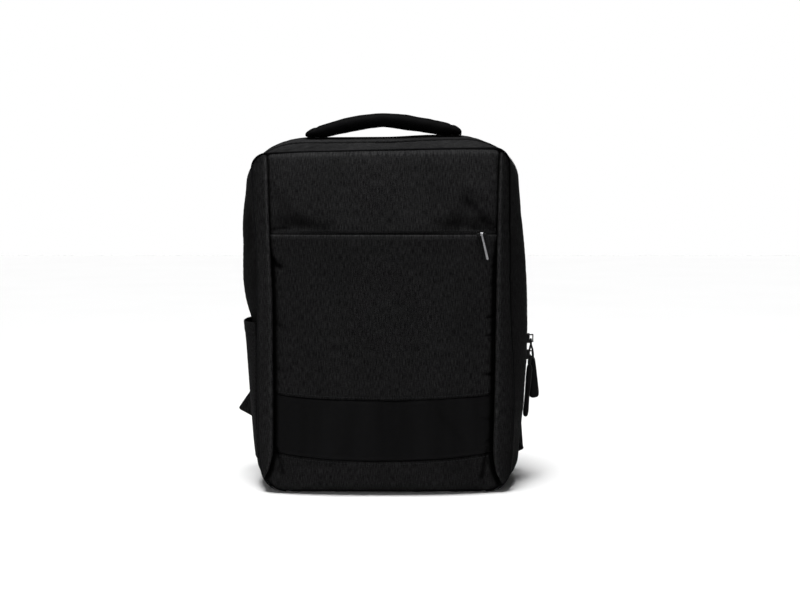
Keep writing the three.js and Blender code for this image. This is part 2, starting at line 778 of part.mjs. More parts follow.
function strapFrame(side, at) {
  const step = 0.01;
  const way = strapPoint(side, Math.min(1, at + step)).sub(strapPoint(side, Math.max(0, at - step)));
  way.normalize();
  const across = new THREE.Vector3(1, 0, 0).addScaledVector(way, -way.x).normalize();
  return { way, across, out: new THREE.Vector3().crossVectors(across, way) };
}

function shoulderStrap(side) {
  const sections = shares(14).map((at) => {
    const frame = strapFrame(side, at);
    const width = strapWidth * read(strapLine, 'wide', at);
    const thick = strapThick * read(strapLine, 'thick', at);
    return ovalSection(strapPoint(side, at), frame.across, frame.out, width, thick, 10);
  });
  return loft(sections);
}

// The frame of a ladder lock: its top edge at the strap's end, its length along the strap.
function lockFrame(side) {
  const { way, across, out } = strapFrame(side, 1);
  return { origin: strapPoint(side, 1).addScaledVector(way, seamGap), way, across, out };
}

function lockPoint(frame, along, above, offset = 0) {
  return frame.origin.clone()
    .addScaledVector(frame.way, along)
    .addScaledVector(frame.out, above)
    .addScaledVector(frame.across, offset);
}

// A strip of webbing through places that each give a centre, a way across and a way out.
function webbing(places, width) {
  const rowAt = (place, above) => [-0.5, 0, 0.5].map((share) => (
    place.centre.clone()
      .addScaledVector(place.across, share * width)
      .addScaledVector(place.out, above)
  ));
  const outer = places.map((place) => rowAt(place, webbingThick / 2));
  const inner = places.map((place) => rowAt(place, -webbingThick / 2));
  return sheet(outer, inner);
}

// Places along a path in the plane of the lock's length and thickness.
function placesOnLock(frame, path) {
  return path.map(([along, above], i) => {
    const before = path[Math.max(0, i - 1)];
    const after = path[Math.min(path.length - 1, i + 1)];
    const turn = new THREE.Vector2(after[0] - before[0], after[1] - before[1]).normalize();
    const out = frame.out.clone().multiplyScalar(turn.x).addScaledVector(frame.way, -turn.y);
    return { centre: lockPoint(frame, along, above), across: frame.across, out };
  });
}

const lockPitch = (lockHeight - lockBar) / 3;
const lockSlot = lockPitch - lockBar;

function ladderLock() {
  const plate = roundedOutline(lockWidth, lockHeight, lockCorner);
  for (const row of [-1, 0, 1]) {
    const width = lockWidth - 2 * lockBar;
    plate.holes.push(roundedOutline(width, lockSlot, slotCorner, row * lockPitch, THREE.Path));
  }
  const depth = lockThick;
  const geometry = new THREE.ExtrudeGeometry(plate, { depth, bevelEnabled: false, curveSegments: 3 });
  return geometry.translate(0, -lockHeight / 2, -lockThick / 2);
}

function roundedOutline(width, height, corner, shift = 0, Kind = THREE.Shape) {
  const outline = new Kind();
  const [x, y] = [width / 2 - corner, height / 2 - corner];
  outline.absarc(x, shift + y, corner, 0, Math.PI / 2);
  outline.absarc(-x, shift + y, corner, Math.PI / 2, Math.PI);
  outline.absarc(-x, shift - y, corner, Math.PI, Math.PI * 1.5);
  outline.absarc(x, shift - y, corner, Math.PI * 1.5, Math.PI * 2);
  outline.closePath();
  return outline;
}

// The way of webbing through a slot, round the bar that lies one way from it.
function throughSlot(at, clear, way) {
  const down = [
    [at + way * slotBend, clear],
    [at + way * slotBend / 4, clear - slotBend * 0.44],
    [at, clear - slotBend],
  ];
  return [...down, ...down.map(([along, above]) => [along, -above]).reverse()];
}

// The loop that ties a strap to its lock: over the first bar and back under the strap.
function strapLoop(side) {
  const frame = lockFrame(side);
  const seat = strapThick / 2 + seamGap + webbingThick / 2;
  const clear = lockThick / 2 + seamGap + webbingThick / 2;
  const above = [[-loopReach, seat], [-loopReach / 2, seat], [0.5, clear + 0.2]];
  const below = above.map(([along, height]) => [along, -height]).reverse();
  const turn = throughSlot(lockBar + lockSlot / 2, clear, -1);
  return webbing(placesOnLock(frame, [...above, ...turn, ...below]), webbingWidth);
}

// The webbing threads the lock and runs down to its tab at the rear seam.
function strapWebbing(side, tab) {
  const frame = lockFrame(side);
  const clear = lockThick / 2 + seamGap + webbingThick / 2;
  const up = lockPitch + lockBar + lockSlot / 2;
  const tail = [
    [lockHeight + tailLength, clear + 2.5],
    [lockHeight + tailLength * 0.4, clear + 1],
    [lockHeight, clear],
  ];
  const lead = [[lockHeight, -clear], [lockHeight + 8, -clear]];
  const places = placesOnLock(frame, [...tail, ...throughSlot(up, clear, 1), ...lead]);
  const last = places[places.length - 1];
  const seat = tabSeat(tab);
  const drop = new THREE.CatmullRomCurve3([
    last.centre,
    mixPoint(last.centre, seat.centre, 0.5).setY(mix(last.centre.y, seat.centre.y, 0.55)),
    mixPoint(last.centre, seat.centre, 0.85).setY(seat.centre.y + webbingSag),
    seat.centre,
  ]);
  for (const share of shares(6).slice(1)) {
    const across = last.across.clone().lerp(seat.across, share).normalize();
    const out = last.out.clone().lerp(seat.out, share).normalize();
    places.push({ centre: drop.getPoint(share), across, out });
  }
  return webbing(places, webbingWidth);
}

function mixPoint(from, to, share) {
  return from.clone().lerp(to, share);
}

// Where the webbing is sewn to its tab.
function tabSeat(tab) {
  const height = rearHeight * (tab.low + tab.high) / 2;
  const out = new THREE.Vector3(0, -1, 0);
  const centre = new THREE.Vector3(
    tab.side * (reachAt(tab.side, height, 2) + tabSeatOut),
    rearSeamDepth + seamGap + tabThick + seamGap + webbingThick / 2,
    height,
  );
  const lock = lockPoint(lockFrame(tab.side), lockHeight, 0);
  const run = centre.clone().sub(lock).setY(0).normalize();
  return { centre, across: new THREE.Vector3(-run.z, 0, run.x), out };
}

function strapTab(tab) {
  const outline = new THREE.Shape();
  const heights = shares(9, tab.low * rearHeight, tab.high * rearHeight);
  heights.forEach((height, i) => {
    const x = tab.side * (reachAt(tab.side, height, 2) + 2 * seamGap);
    if (i === 0) outline.moveTo(x, height);
    else outline.lineTo(x, height);
  });
  const tip = new THREE.Vector2(tab.side * tab.tipOut * rearHalfWidth, tab.tipUp * rearHeight);
  outline.lineTo(tab.side * tab.shoulderOut * rearHalfWidth, tab.shoulderUp * rearHeight);
  outline.lineTo(tip.x - tab.side * tabTipSlant, tip.y + tabTipHeight / 2);
  outline.lineTo(tip.x, tip.y);
  outline.lineTo(tip.x - tab.side * tabTipSlant, tip.y - tabTipHeight / 2);
  outline.closePath();
  const geometry = new THREE.ExtrudeGeometry(outline, { depth: tabThick, bevelEnabled: false });
  return geometry.rotateX(Math.PI / 2).translate(0, rearSeamDepth + seamGap + tabThick, 0);
}

const manifold = await Module();
manifold.setup();

// Turns a closed mesh into a solid that can be joined and cut, and back.
function toSolid(geometry) {
  const bare = new THREE.BufferGeometry();
  bare.setAttribute('position', geometry.getAttribute('position'));
  if (geometry.index) bare.setIndex(geometry.index);
  const merged = mergeVertices(bare, 1e-4);
  return new manifold.Manifold(new manifold.Mesh({
    numProp: 3,
    vertProperties: new Float32Array(merged.getAttribute('position').array),
    triVerts: new Uint32Array(merged.index.array),
  }));
}

function toGeometry(solid) {
  const mesh = solid.getMesh();
  const geometry = new THREE.BufferGeometry();
  geometry.setAttribute('position', new THREE.Float32BufferAttribute(mesh.vertProperties, 3));
  geometry.setIndex(Array.from(mesh.triVerts));
  return geometry;
}

function joined(...geometries) {
  return toGeometry(geometries.map(toSolid).reduce((all, next) => all.add(next)));
}

// A slider: its plates on the zip, a neck down to the tape, and a bar for the pull.
// It lies along Y and stands up along Z from the cloth.
const pullBarStand = sliderThick + stickEye + bridgeRadius + seamGap;
const cordBarStand = sliderThick + 2 * (cordRadius + cordGap) + bridgeRadius;
const sliderLeg = sliderLength * 0.36;
const sliderNeck = sliderLength * 0.6;

function slider(neckDepth, neckWidth, barStand) {
  const outline = roundedOutline(sliderWidth, sliderLength, sliderWidth * 0.3);
  const body = new THREE.ExtrudeGeometry(outline, {
    depth: sliderThick, bevelEnabled: false, curveSegments: 4,
  });
  const neck = new THREE.BoxGeometry(neckWidth, sliderNeck, neckDepth + sliderPlate);
  neck.translate(0, 0, (sliderPlate - neckDepth) / 2);
  const legs = [left, right].map((end) => {
    const leg = new THREE.BoxGeometry(2 * bridgeRadius, 2 * bridgeRadius, barStand);
    return leg.translate(0, end * sliderLeg, barStand / 2);
  });
  const bar = new THREE.CylinderGeometry(bridgeRadius, bridgeRadius, 2 * (sliderLeg + bridgeRadius), 12);
  bar.translate(0, 0, barStand);
  return joined(body, neck, ...legs, bar);
}

// Puts a mesh at a place with its own X and Y along two ways.
function place(mesh, position, x, y) {
  const z = new THREE.Vector3().crossVectors(x, y);
  mesh.quaternion.setFromRotationMatrix(new THREE.Matrix4().makeBasis(x, y, z));
  mesh.position.copy(position);
}

// The foremost depth of a surface under a slider on the pocket's mouth.
function foremost(depthAt) {
  const depths = [];
  for (const across of shares(4, -0.5, 0.5)) {
    for (const up of shares(4, -0.5, 0.5)) {
      depths.push(depthAt(pocketSliderX + across * sliderLength, mouthHeight + up * sliderWidth));
    }
  }
  return Math.min(...depths);
}

// The pocket's slider sits at the right end of its mouth.
function pocketPullPlace() {
  return new THREE.Vector3(pocketSliderX, foremost(pocketDepth) - seamGap, mouthHeight);
}

function pocketSlider() {
  const seat = pocketPullPlace();
  const tape = foremost(pocketTapeDepth);
  const body = slider(tape - seat.y - seamGap, mouthGap - 2 * seamGap, pullBarStand);
  const mesh = add('pocket_slider', body, greyMetal());
  place(mesh, seat, new THREE.Vector3(0, 0, 1), new THREE.Vector3(-1, 0, 0));
}

// The stick hangs from the bar of the slider, turned a little aside, and lies on the pocket.
function pocketPull() {
  const seat = pocketPullPlace();
  const pivot = seat.clone().add(new THREE.Vector3(0, -pullBarStand, 0));
  const aside = THREE.MathUtils.degToRad(stickTilt);
  const footX = pivot.x + stickLength * Math.sin(aside);
  const footZ = pivot.z - stickLength * Math.cos(aside);
  const stand = pocketDepth(footX, footZ) - seamGap - stickThick / 2 - pivot.y;
  const lean = Math.asin(stand / stickLength);
  const outline = new THREE.Shape();
  outline.absarc(0, -stickLength + stickWidth / 2, stickWidth / 2, Math.PI, Math.PI * 2);
  outline.lineTo(stickNeck / 2, -stickEye - bridgeRadius / 2);
  outline.lineTo(-stickNeck / 2, -stickEye - bridgeRadius / 2);
  outline.closePath();
  const stick = new THREE.ExtrudeGeometry(outline, {
    depth: stickThick, bevelEnabled: false, curveSegments: 6,
  });
  stick.translate(0, 0, -stickThick / 2);
  stick.rotateZ(aside).rotateX(Math.PI / 2);
  const ring = new THREE.Shape().absarc(0, 0, stickEye + bridgeRadius, 0, Math.PI * 2);
  ring.holes.push(new THREE.Path().absarc(0, 0, bridgeRadius + seamGap + 0.05, 0, Math.PI * 2));
  const eye = new THREE.ExtrudeGeometry(ring, {
    depth: stickEyeWidth, bevelEnabled: false, curveSegments: 8,
  });
  eye.translate(0, 0, -stickEyeWidth / 2).rotateY(Math.PI / 2);
  const mesh = add('pocket_pull', joined(stick, eye), greyMetal());
  mesh.rotation.x = lean;
  mesh.position.copy(pivot);
}

// The moulded tab on a cord: tapered, thick and rounded, hanging down from its top edge.
function pullTab(length) {
  const bevel = tabPullThick * 0.2;
  const half = tabPullWidth / 2 - bevel;
  const outline = new THREE.Shape();
  outline.absarc(0, half - length + bevel, half, Math.PI, Math.PI * 2);
  outline.lineTo(half * 0.6, -bevel);
  outline.lineTo(-half * 0.6, -bevel);
  outline.closePath();
  const geometry = new THREE.ExtrudeGeometry(outline, {
    depth: tabPullThick - 2 * bevel, bevelSize: bevel, bevelThickness: bevel,
    bevelSegments: 2, curveSegments: 8,
  });
  return geometry.translate(0, 0, bevel - tabPullThick / 2).rotateX(Math.PI / 2);
}

// A cord that leaves the tab by two strands and passes through the slider's bar.
function cordLoop(foot, turnPlace, wide, footUp) {
  const across = new THREE.Vector3(0, 1, 0);
  const bend = cordLoopWidth / 2;
  const top = foot.clone().addScaledVector(footUp, 2 * cordRadius);
  const strand = [0, 0.25, 0.5, 0.75].map((share) => {
    const way = wide.clone().lerp(across, share ** 0.7).normalize();
    return [top.clone().lerp(turnPlace, share), way.multiplyScalar(mix(0.7, 1, share) * bend)];
  });
  strand.unshift([foot, strand[0][1].clone()]);
  const path = strand.map(([centre, way]) => centre.clone().sub(way));
  for (const turn of shares(6, 0, Math.PI)) {
    path.push(turnPlace.clone()
      .addScaledVector(across, -bend * Math.cos(turn))
      .setZ(turnPlace.z + bend * Math.sin(turn)));
  }
  path.push(...strand.reverse().map(([centre, way]) => centre.clone().add(way)));
  const circle = new THREE.Shape().absarc(0, 0, cordRadius, 0, Math.PI * 2);
  return new THREE.ExtrudeGeometry(circle, {
    steps: 30, curveSegments: 4, extrudePath: new THREE.CatmullRomCurve3(path),
  });
}

// A pull of the main zip: a slider, a loop of cord through its bar and a moulded tab.
function zipPull(pull) {
  const height = pull.up * zipHeight;
  const seat = new THREE.Vector3(reachAt(right, height, 1) + seamGap, zipDepth, height);
  const [x, y, z] = [0, 1, 2].map((axis) => new THREE.Vector3().setComponent(axis, 1));
  const body = slider(zipRecess, zipWidth / 2, cordBarStand);
  place(add(`zip_slider_${pull.name}`, body, darkPlastic()), seat, y, z);
  const turnPlace = seat.clone();
  turnPlace.x += sliderThick + cordGap + cordRadius;
  turnPlace.z += bridgeRadius + 2 * cordGap + cordRadius - sliderLeg - cordLoopWidth / 2;
  const top = turnPlace.clone().add(new THREE.Vector3(
    pull.topOut * tabPullWidth,
    pull.topBack * tabPullWidth,
    -pull.cord * cordLoopLength,
  ));
  const length = pull.long * tabPullLength;
  const foot = top.clone();
  foot.x += pull.footOut * tabPullWidth;
  foot.y += pull.footBack * tabPullWidth;
  foot.z -= length;
  const up = top.clone().sub(foot).normalize();
  const wide = pull.edgeOn ? y.clone() : x.clone();
  wide.addScaledVector(up, -wide.dot(up)).normalize();
  const cordFoot = top.clone().addScaledVector(up, seamGap);
  add(`pull_cord_${pull.name}`, cordLoop(cordFoot, turnPlace, wide, up), smoothCloth());
  const tab = add(`pull_tab_${pull.name}`, pullTab(length), darkRubber());
  place(tab, top, wide, new THREE.Vector3().crossVectors(up, wide));
}

makeFace();
for (const [name, side] of [['left', left], ['right', right]]) {
  add(`wing_${name}`, wing(side), heather());
}
add('edge_piping', edgePiping(), smoothCloth());
add('pocket_zip', pocketZip(), smoothCloth());
add('front_gusset', gusset(0, 1, false, true), heather());
add('rear_gusset', gusset(1, 2, true, false), heather());
add('main_zip', mainZip(), smoothCloth());
add('base_panel', basePanel(), heather());
add('back_panel', backPanel(), smoothCloth());
add('side_pocket', sidePocket(), heather());
add('top_handle', topHandle(), smoothCloth());
for (const tab of strapTabs) {
  add(`shoulder_strap_${tab.name}`, shoulderStrap(tab.side), heather());
  add(`strap_loop_${tab.name}`, strapLoop(tab.side), webbingCloth());
  const lock = lockFrame(tab.side);
  const mesh = add(`ladder_lock_${tab.name}`, ladderLock(), darkPlastic());
  place(mesh, lock.origin, lock.across, lock.way.clone().negate());
  add(`strap_webbing_${tab.name}`, strapWebbing(tab.side, tab), webbingCloth());
  add(`strap_tab_${tab.name}`, strapTab(tab), heather());
}
pocketSlider();
pocketPull();
zipPulls.forEach(zipPull);

export default bag;
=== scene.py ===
"""Laptop backpack in dark heather cloth: the finished looks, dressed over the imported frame."""
import math

import bmesh
import bpy
import numpy as np
from bpy.props import FloatProperty, FloatVectorProperty, IntProperty, PointerProperty
from mathutils import Matrix, Vector


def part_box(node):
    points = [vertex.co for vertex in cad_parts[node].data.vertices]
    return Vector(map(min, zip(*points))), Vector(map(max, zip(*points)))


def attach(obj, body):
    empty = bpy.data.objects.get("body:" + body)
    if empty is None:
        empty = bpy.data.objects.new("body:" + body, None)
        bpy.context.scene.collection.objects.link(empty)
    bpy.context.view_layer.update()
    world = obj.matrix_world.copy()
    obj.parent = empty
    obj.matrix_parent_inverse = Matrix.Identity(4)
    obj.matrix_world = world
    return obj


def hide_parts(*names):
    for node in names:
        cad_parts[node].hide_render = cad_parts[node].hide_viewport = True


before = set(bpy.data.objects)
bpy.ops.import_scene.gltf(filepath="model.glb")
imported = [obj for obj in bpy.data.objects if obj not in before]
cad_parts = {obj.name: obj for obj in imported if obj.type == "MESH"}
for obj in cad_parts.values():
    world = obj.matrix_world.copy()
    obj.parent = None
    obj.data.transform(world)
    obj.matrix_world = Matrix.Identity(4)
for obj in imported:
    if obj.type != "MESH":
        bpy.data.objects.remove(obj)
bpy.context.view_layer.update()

bl_info = {
    "name": "Laptop backpack",
    "version": (1, 0, 0),
    "blender": (4, 5, 0),
    "location": "3D View > Sidebar > Backpack",
    "description": "Dresses the frame of a laptop backpack in cloth, zips, webbing and hardware",
    "category": "Object",
}

MM = 0.001
LEFT, RIGHT = -1, 1
RING_END = 7

# Sizes of the body in millimetres
FRONT_HEIGHT, ZIP_HEIGHT, REAR_HEIGHT = 375.5, 388.5, 396.5
FRONT_HALF_WIDTH, ZIP_HALF_WIDTH, REAR_HALF_WIDTH = 140.5, 161, 152
HALF_WIDTHS = (FRONT_HALF_WIDTH, ZIP_HALF_WIDTH, REAR_HALF_WIDTH)
FRONT_SEAM_DEPTH, FRONT_SEAM_LEAN, ZIP_DEPTH, REAR_SEAM_DEPTH = 39, 10, 10, 58
FRONT_CORNER, REAR_CORNER_WIDTH, REAR_CORNER_HEIGHT = 17, 60, 45
FRONT_BASE_CORNER, REAR_BASE_CORNER = 24, 28
CLOTH_WALL, FACE_WALL, BASE_WALL, SEAM_GAP = 1.6, 2, 2.4, 0.3
FACE_SHEET, CLOTH_SHEET, BASE_SHEET = FACE_WALL * 0.7, CLOTH_WALL * 0.7, BASE_WALL * 0.7
BACK_SEAM = REAR_SEAM_DEPTH + SEAM_GAP
PIPING_RADIUS = 1.3
BACK_PAD, BACK_PAD_EDGE = 9, 3
FACE_BULGE, MOUTH_HEIGHT, MOUTH_GAP = 30, 285.5, 1.6
LIP_RISE, LIP_FADE, WELT_OVERHANG = 3, 70, 0.4
BASE_FRONT, BASE_REAR = 41.7, 57.7
BAND_TOP, BAND_TOP_RISE, BAND_BASE, BAND_BASE_RISE = 106, 7, 39, 11
POCKET_TAPE_HEIGHT = 13
ZIP_WIDTH, ZIP_END_LEFT, ZIP_END_RIGHT = 6, 200, 100
COIL_PITCH, COIL_TURN, COIL_ROUNDING = 1.5, (0.95, 3.3, 0.9), 0.16
POCKET_COIL_PITCH, POCKET_COIL_TURN, POCKET_COIL_ROUNDING = 1.3, (0.8, 2.6, 0.9), 0.14
SIDE_POCKET_TOP, SIDE_POCKET_BASE = 187, 34
SIDE_POCKET_FRONT, SIDE_POCKET_REAR = -30, 50
SIDE_POCKET_EASE, SIDE_POCKET_WALL = 7.2, 1.4
STRAP_WIDTH, STRAP_THICK, STRAP_TOP, STRAP_SPREAD, STRAP_REACH = 62, 10, 378, 88, 30
WEBBING_WIDTH, WEBBING_THICK, WEBBING_SIDES = 25, 1.6, 28
LOCK_HEIGHT, LOCK_THICK, LOCK_BAR = 26, 4.5, 4.5
TAB_THICK, TAB_POINTS, TAB_ROUNDING = 2.4, 10, 0.8
CORD_RADIUS, CORD_LOOP_WIDTH, CORD_LOOP_LENGTH = 1.1, 6.4, 19
SLIDER_LENGTH, SLIDER_THICK, BRIDGE_RADIUS, CORD_GAP = 11, 3.2, 0.7, 0.5
PULL_WIDTH, PULL_THICK, PULL_LENGTH = 12, 6.5, 50


def table(names, *rows):
    """A table of shares with named columns."""
    return dict(zip(names.split(), np.array(rows, float).T))


# Side lines from base to top: half widths as shares of each ring's own half width.
SIDE_LINES = table(
    "at frontL frontR zipL zipR rearL rearR",
    (0.00, 0.950, 0.968, 0.895, 0.935, 0.930, 0.940),
    (0.14, 0.985, 1.003, 0.918, 0.963, 0.960, 0.970),
    (0.27, 0.992, 1.015, 0.925, 0.985, 0.980, 1.000),
    (0.39, 0.990, 1.005, 0.930, 1.000, 0.985, 1.010),
    (0.48, 0.988, 0.988, 0.936, 1.005, 0.990, 1.010),
    (0.56, 0.988, 0.982, 0.985, 1.004, 1.000, 1.000),
    (0.62, 0.988, 0.978, 1.000, 0.996, 1.000, 1.000),
    (0.76, 0.998, 0.973, 1.000, 0.964, 1.000, 0.975),
    (0.86, 1.018, 0.970, 0.976, 0.942, 0.975, 0.950),
    (1.00, 1.030, 0.963, 0.950, 0.922, 0.955, 0.925),
)

# Top lines across the bag: heights as shares of each ring's own height.
TOP_LINES = table(
    "at front zip rear",
    (-1.00, 0.988, 1.000, 1.010),
    (-0.60, 0.996, 0.997, 0.998),
    (0.00, 1.001, 1.000, 0.999),
    (0.40, 1.004, 1.006, 1.005),
    (1.00, 1.006, 1.010, 1.003),
)

# The face from base to top: how far its middle and its upright seams stand out, and where
# those seams run.
FACE_LINES = table(
    "at middle seams seamL seamR",
    (0.000, 0.00, 0.00, 0.970, 0.950),
    (0.008, 0.20, 0.02, 0.968, 0.940),
    (0.040, 0.54, 0.12, 0.945, 0.905),
    (0.070, 0.68, 0.22, 0.910, 0.875),
    (0.133, 0.84, 0.40, 0.876, 0.855),
    (0.265, 0.95, 0.50, 0.870, 0.862),
    (0.530, 0.97, 0.56, 0.869, 0.870),
    (0.750, 0.80, 0.50, 0.890, 0.878),
    (0.875, 0.66, 0.40, 0.900, 0.885),
    (0.945, 0.52, 0.27, 0.908, 0.892),
    (0.980, 0.36, 0.14, 0.915, 0.897),
    (1.000, 0.00, 0.00, 0.920, 0.900),
)

# Soft dents in the face: place, size, depth and lean of each.
FACE_DENTS = (
    (-0.70, 0.785, 0.17, 0.014, 0.10, 0.00),
    (0.70, 0.785, 0.17, 0.016, 0.12, 0.00),
    (0.70, 0.840, 0.10, 0.030, 0.08, -0.16),
    (-0.80, 0.680, 0.05, 0.012, 0.05, 0.05),
)

# Creases across the sides: side, height, reach, depth, ring.
SIDE_DENTS = (
    (RIGHT, 0.785, 0.018, 0.014, 0.45),
    (RIGHT, 0.625, 0.013, 0.012, 0.40),
    (LEFT, 0.710, 0.020, 0.010, 0.45),
)
SIDE_DENT_REACH = 0.35

# Single folds of the face in millimetres: from, to, half width, and depth (below 0 it stands out).
FACE_FOLDS = (
    (-121, 290.0, -106, 291.0, 2.4, 1.8),
    (-110, 301, -64, 292, 8.0, 1.6),
    (-112, 318, -92, 300, 6.0, 0.9),
    (-119, 256, -113, 250, 2.6, 2.4),
    (-113, 262, -104, 251, 3.0, -0.9),
    (121, 290.5, 98, 291.5, 2.8, 2.8),
    (113, 297, 91, 321, 5.5, 2.2),
    (84, 312, 76, 296, 9.0, 1.6),
    (112, 326, 92, 338, 6.0, -0.8),
    (98, 297, 68, 294, 7.5, 1.3),
    (-117, 48, -111, 24, 2.4, 2.4),
    (112, 52, 107, 20, 2.4, 2.4),
    (-119, 330, -108, 322, 3.5, 0.9),
    (119, 197, 112, 196, 1.6, 1.8),
    (119, 176, 111, 176, 1.6, 1.6),
    (119, 133, 110, 134, 1.8, 1.8),
    (119, 84, 108, 86, 2.2, 1.4),
    (119, 64, 112, 60, 2.0, 1.6),
    (119, 232, 112, 229, 2.0, 1.2),
    (-119, 190, -108, 184, 3.0, 1.0),
    (-119, 140, -110, 137, 2.4, 0.9),
    (60, 92, 88, 60, 7.0, 0.8),
    (40, 100, 58, 64, 8.0, -0.6),
    (-60, 94, -72, 60, 8.0, 0.7),
)

# A shoulder strap from its top end to its buckle.
STRAP_LINE = table(
    "at out behind up wide thick",
    (0.00, 0.46, 0.00, 1.000, 0.90, 0.60),
    (0.12, 0.47, 0.06, 0.920, 0.98, 1.00),
    (0.30, 0.51, 0.50, 0.800, 1.00, 1.00),
    (0.50, 0.60, 0.88, 0.665, 1.00, 1.00),
    (0.70, 0.74, 1.00, 0.530, 0.95, 1.00),
    (0.88, 0.90, 0.90, 0.420, 0.80, 0.95),
    (1.00, 1.00, 0.78, 0.365, 0.58, 0.60),
)

# The tabs that hold the webbing: their stretch of the seam, shoulder and tip.
STRAP_TABS = {
    "left": dict(side=LEFT, low=0.148, high=0.275, shoulder=(1.066, 0.240), tip=(1.150, 0.192)),
    "right": dict(side=RIGHT, low=0.042, high=0.215, shoulder=(1.062, 0.160), tip=(1.085, 0.070)),
}

# The corded pulls of the main zip.
ZIP_PULLS = {
    "upper": dict(
        up=0.425, cord=0.90, long=0.98, edge_on=False, top=(0.12, 0.63), foot=(0.33, 0.10)),
    "lower": dict(
        up=0.377, cord=0.34, long=1.21, edge_on=True, top=(-0.06, -0.25), foot=(-0.40, -0.20)),
}


def length_field(name, description, size, least=0):
    """A length that a user may change, given in millimetres."""
    return FloatProperty(
        name=name, description=description, default=size * MM, min=least * MM, unit="LENGTH")


def colour_field(name, description, value):
    """A colour that a user may change."""
    return FloatVectorProperty(
        name=name, description=description, default=value, subtype="COLOR", size=3, min=0, max=1)


class BackpackSizes(bpy.types.PropertyGroup):
    """Sizes and colours that a user may change."""

    seam_roll: length_field("Seam roll", "How deep a panel rolls in at its seams", 2.4)
    seam_width: length_field("Seam width", "How wide a panel's rolled edge is", 2.6, 0.5)
    pucker: length_field("Pucker", "Height of the small gathers along the seams", 0.45)
    slack: length_field("Slack", "Height of the broad soft waves in the cloth", 0.8)
    stitch_length: length_field("Stitch length", "Length of one stitch", 2.6, 0.5)
    grid_step: length_field("Grid step", "Distance between the points of a cloth panel", 1.9, 0.5)
    swell_frames: IntProperty(
        name="Swell frames", description="Steps of the simulation that fills the padded pieces",
        default=16, min=1)
    swell_pressure: FloatProperty(
        name="Swell pressure", description="Pressure inside the padded pieces", default=4.0, min=0)
    heather_dark: colour_field(
        "Heather, dark yarn", "Dark yarn of the cloth", (0.0036, 0.0036, 0.0038))
    heather_light: colour_field(
        "Heather, light yarn", "Light yarn of the cloth", (0.0175, 0.0175, 0.0178))
    smooth_cloth: colour_field(
        "Smooth cloth", "The band, the handle and the trim", (0.0040, 0.0040, 0.0043))
    trim: colour_field(
        "Trim", "Webbing, zips, cords and moulded parts", (0.0050, 0.0050, 0.0053))
    pull_grey: colour_field(
        "Pull", "The front pocket's metal pull", (0.26, 0.26, 0.27))
    floor: colour_field(
        "Floor", "The studio floor", (0.90, 0.90, 0.90))


def sizes():
    return bpy.context.scene.backpack


# Shape of the body


def mix(a, b, t):
    return a + (b - a) * t


def fade(distance, reach):
    """A soft bump that is 1 at its middle."""
    return np.exp(-((distance / reach) ** 2))


def read(rows, column, at):
    """A column of a table between its rows, on a curve that never overshoots them."""
    x, y = rows["at"], rows[column]
    at = np.clip(at, x[0], x[-1])
    slope = np.diff(y) / np.diff(x)
    product, total = slope[:-1] * slope[1:], slope[:-1] + slope[1:]
    inner = np.where(product > 0, 2 * product / np.where(total == 0, 1, total), 0)
    tangent = np.concatenate([[slope[0]], inner, [slope[-1]]])
    row = np.clip(np.searchsorted(x, at, side="left") - 1, 0, len(x) - 2)
    span = x[row + 1] - x[row]
    t = (at - x[row]) / span
    bend = t * (1 - t) * (tangent[row] * span * (1 - t) - tangent[row + 1] * span * t)
    return y[row] + (y[row + 1] - y[row]) * t * t * (3 - 2 * t) + bend


def between_rings(ring, front, middle, rear):
    ahead = mix(front, middle, np.sin(np.clip(ring, 0, 1) * math.pi / 2))
    behind = mix(middle, rear, 1 - np.cos(np.clip(ring - 1, 0, 1) * math.pi / 2))
    return np.where(ring <= 1, ahead, behind)


def half_width(side, up, ring):
    widths = []
    for name, size in zip(("front", "zip", "rear"), HALF_WIDTHS):
        left, right = (read(SIDE_LINES, name + end, up) for end in "LR")
        widths.append(size * np.where(side < 0, left, right))
    dent = 0
    for dent_side, height, high, deep, depth in SIDE_DENTS:
        dent = dent + (side == dent_side) * deep * ZIP_HALF_WIDTH * (
            fade(up - height, high) * fade(ring - depth, SIDE_DENT_REACH))
    return between_rings(ring, *widths) - dent


def top_height(across, ring):
    front = FRONT_HEIGHT * read(TOP_LINES, "front", across)
    middle = ZIP_HEIGHT * read(TOP_LINES, "zip", across)
    rear = REAR_HEIGHT * read(TOP_LINES, "rear", across)
    return np.where(ring <= 1, mix(front, middle, ring), mix(middle, rear, ring - 1))


def side_of_ring(along, ring, side):
    """A point of a ring on one side, from the middle of the base to the middle of the top."""
    along, ring, side = np.broadcast_arrays(
        np.asarray(along, float), np.asarray(ring, float), np.asarray(side, float))
    height, width = top_height(side, ring), half_width(side, np.ones_like(ring), ring)
    base_corner = between_rings(ring, FRONT_BASE_CORNER, REAR_BASE_CORNER, REAR_BASE_CORNER)
    corner_x = between_rings(ring, FRONT_CORNER, REAR_CORNER_WIDTH, REAR_CORNER_WIDTH) / width
    corner_z = between_rings(ring, FRONT_CORNER, REAR_CORNER_HEIGHT, REAR_CORNER_HEIGHT) / height
    base_x = base_corner / half_width(side, np.zeros_like(ring), ring)
    base_z = base_corner / height
    turn = (along % 1) * math.pi / 2
    stretch = [along < 1, along >= 3, along >= 2]
    across = np.select(stretch, [
        1 - base_x + base_x * np.sin(turn),
        mix(1 - corner_x, 0, (along - 3) * 2),
        1 - corner_x + corner_x * np.cos(turn)], 1.0)
    up = np.select(stretch, [
        base_z * (1 - np.cos(turn)), 1.0,
        1 - corner_z + corner_z * np.sin(turn)], mix(base_z, 1 - corner_z, along - 1))
    return side * across * half_width(side, up, ring), up * top_height(side * across, ring)


def ring_point(along, ring):
    along = np.asarray(along, float)
    side = np.where(along > RING_END / 2, RIGHT, LEFT)
    return side_of_ring(np.where(along > RING_END / 2, RING_END - along, along), ring, side)


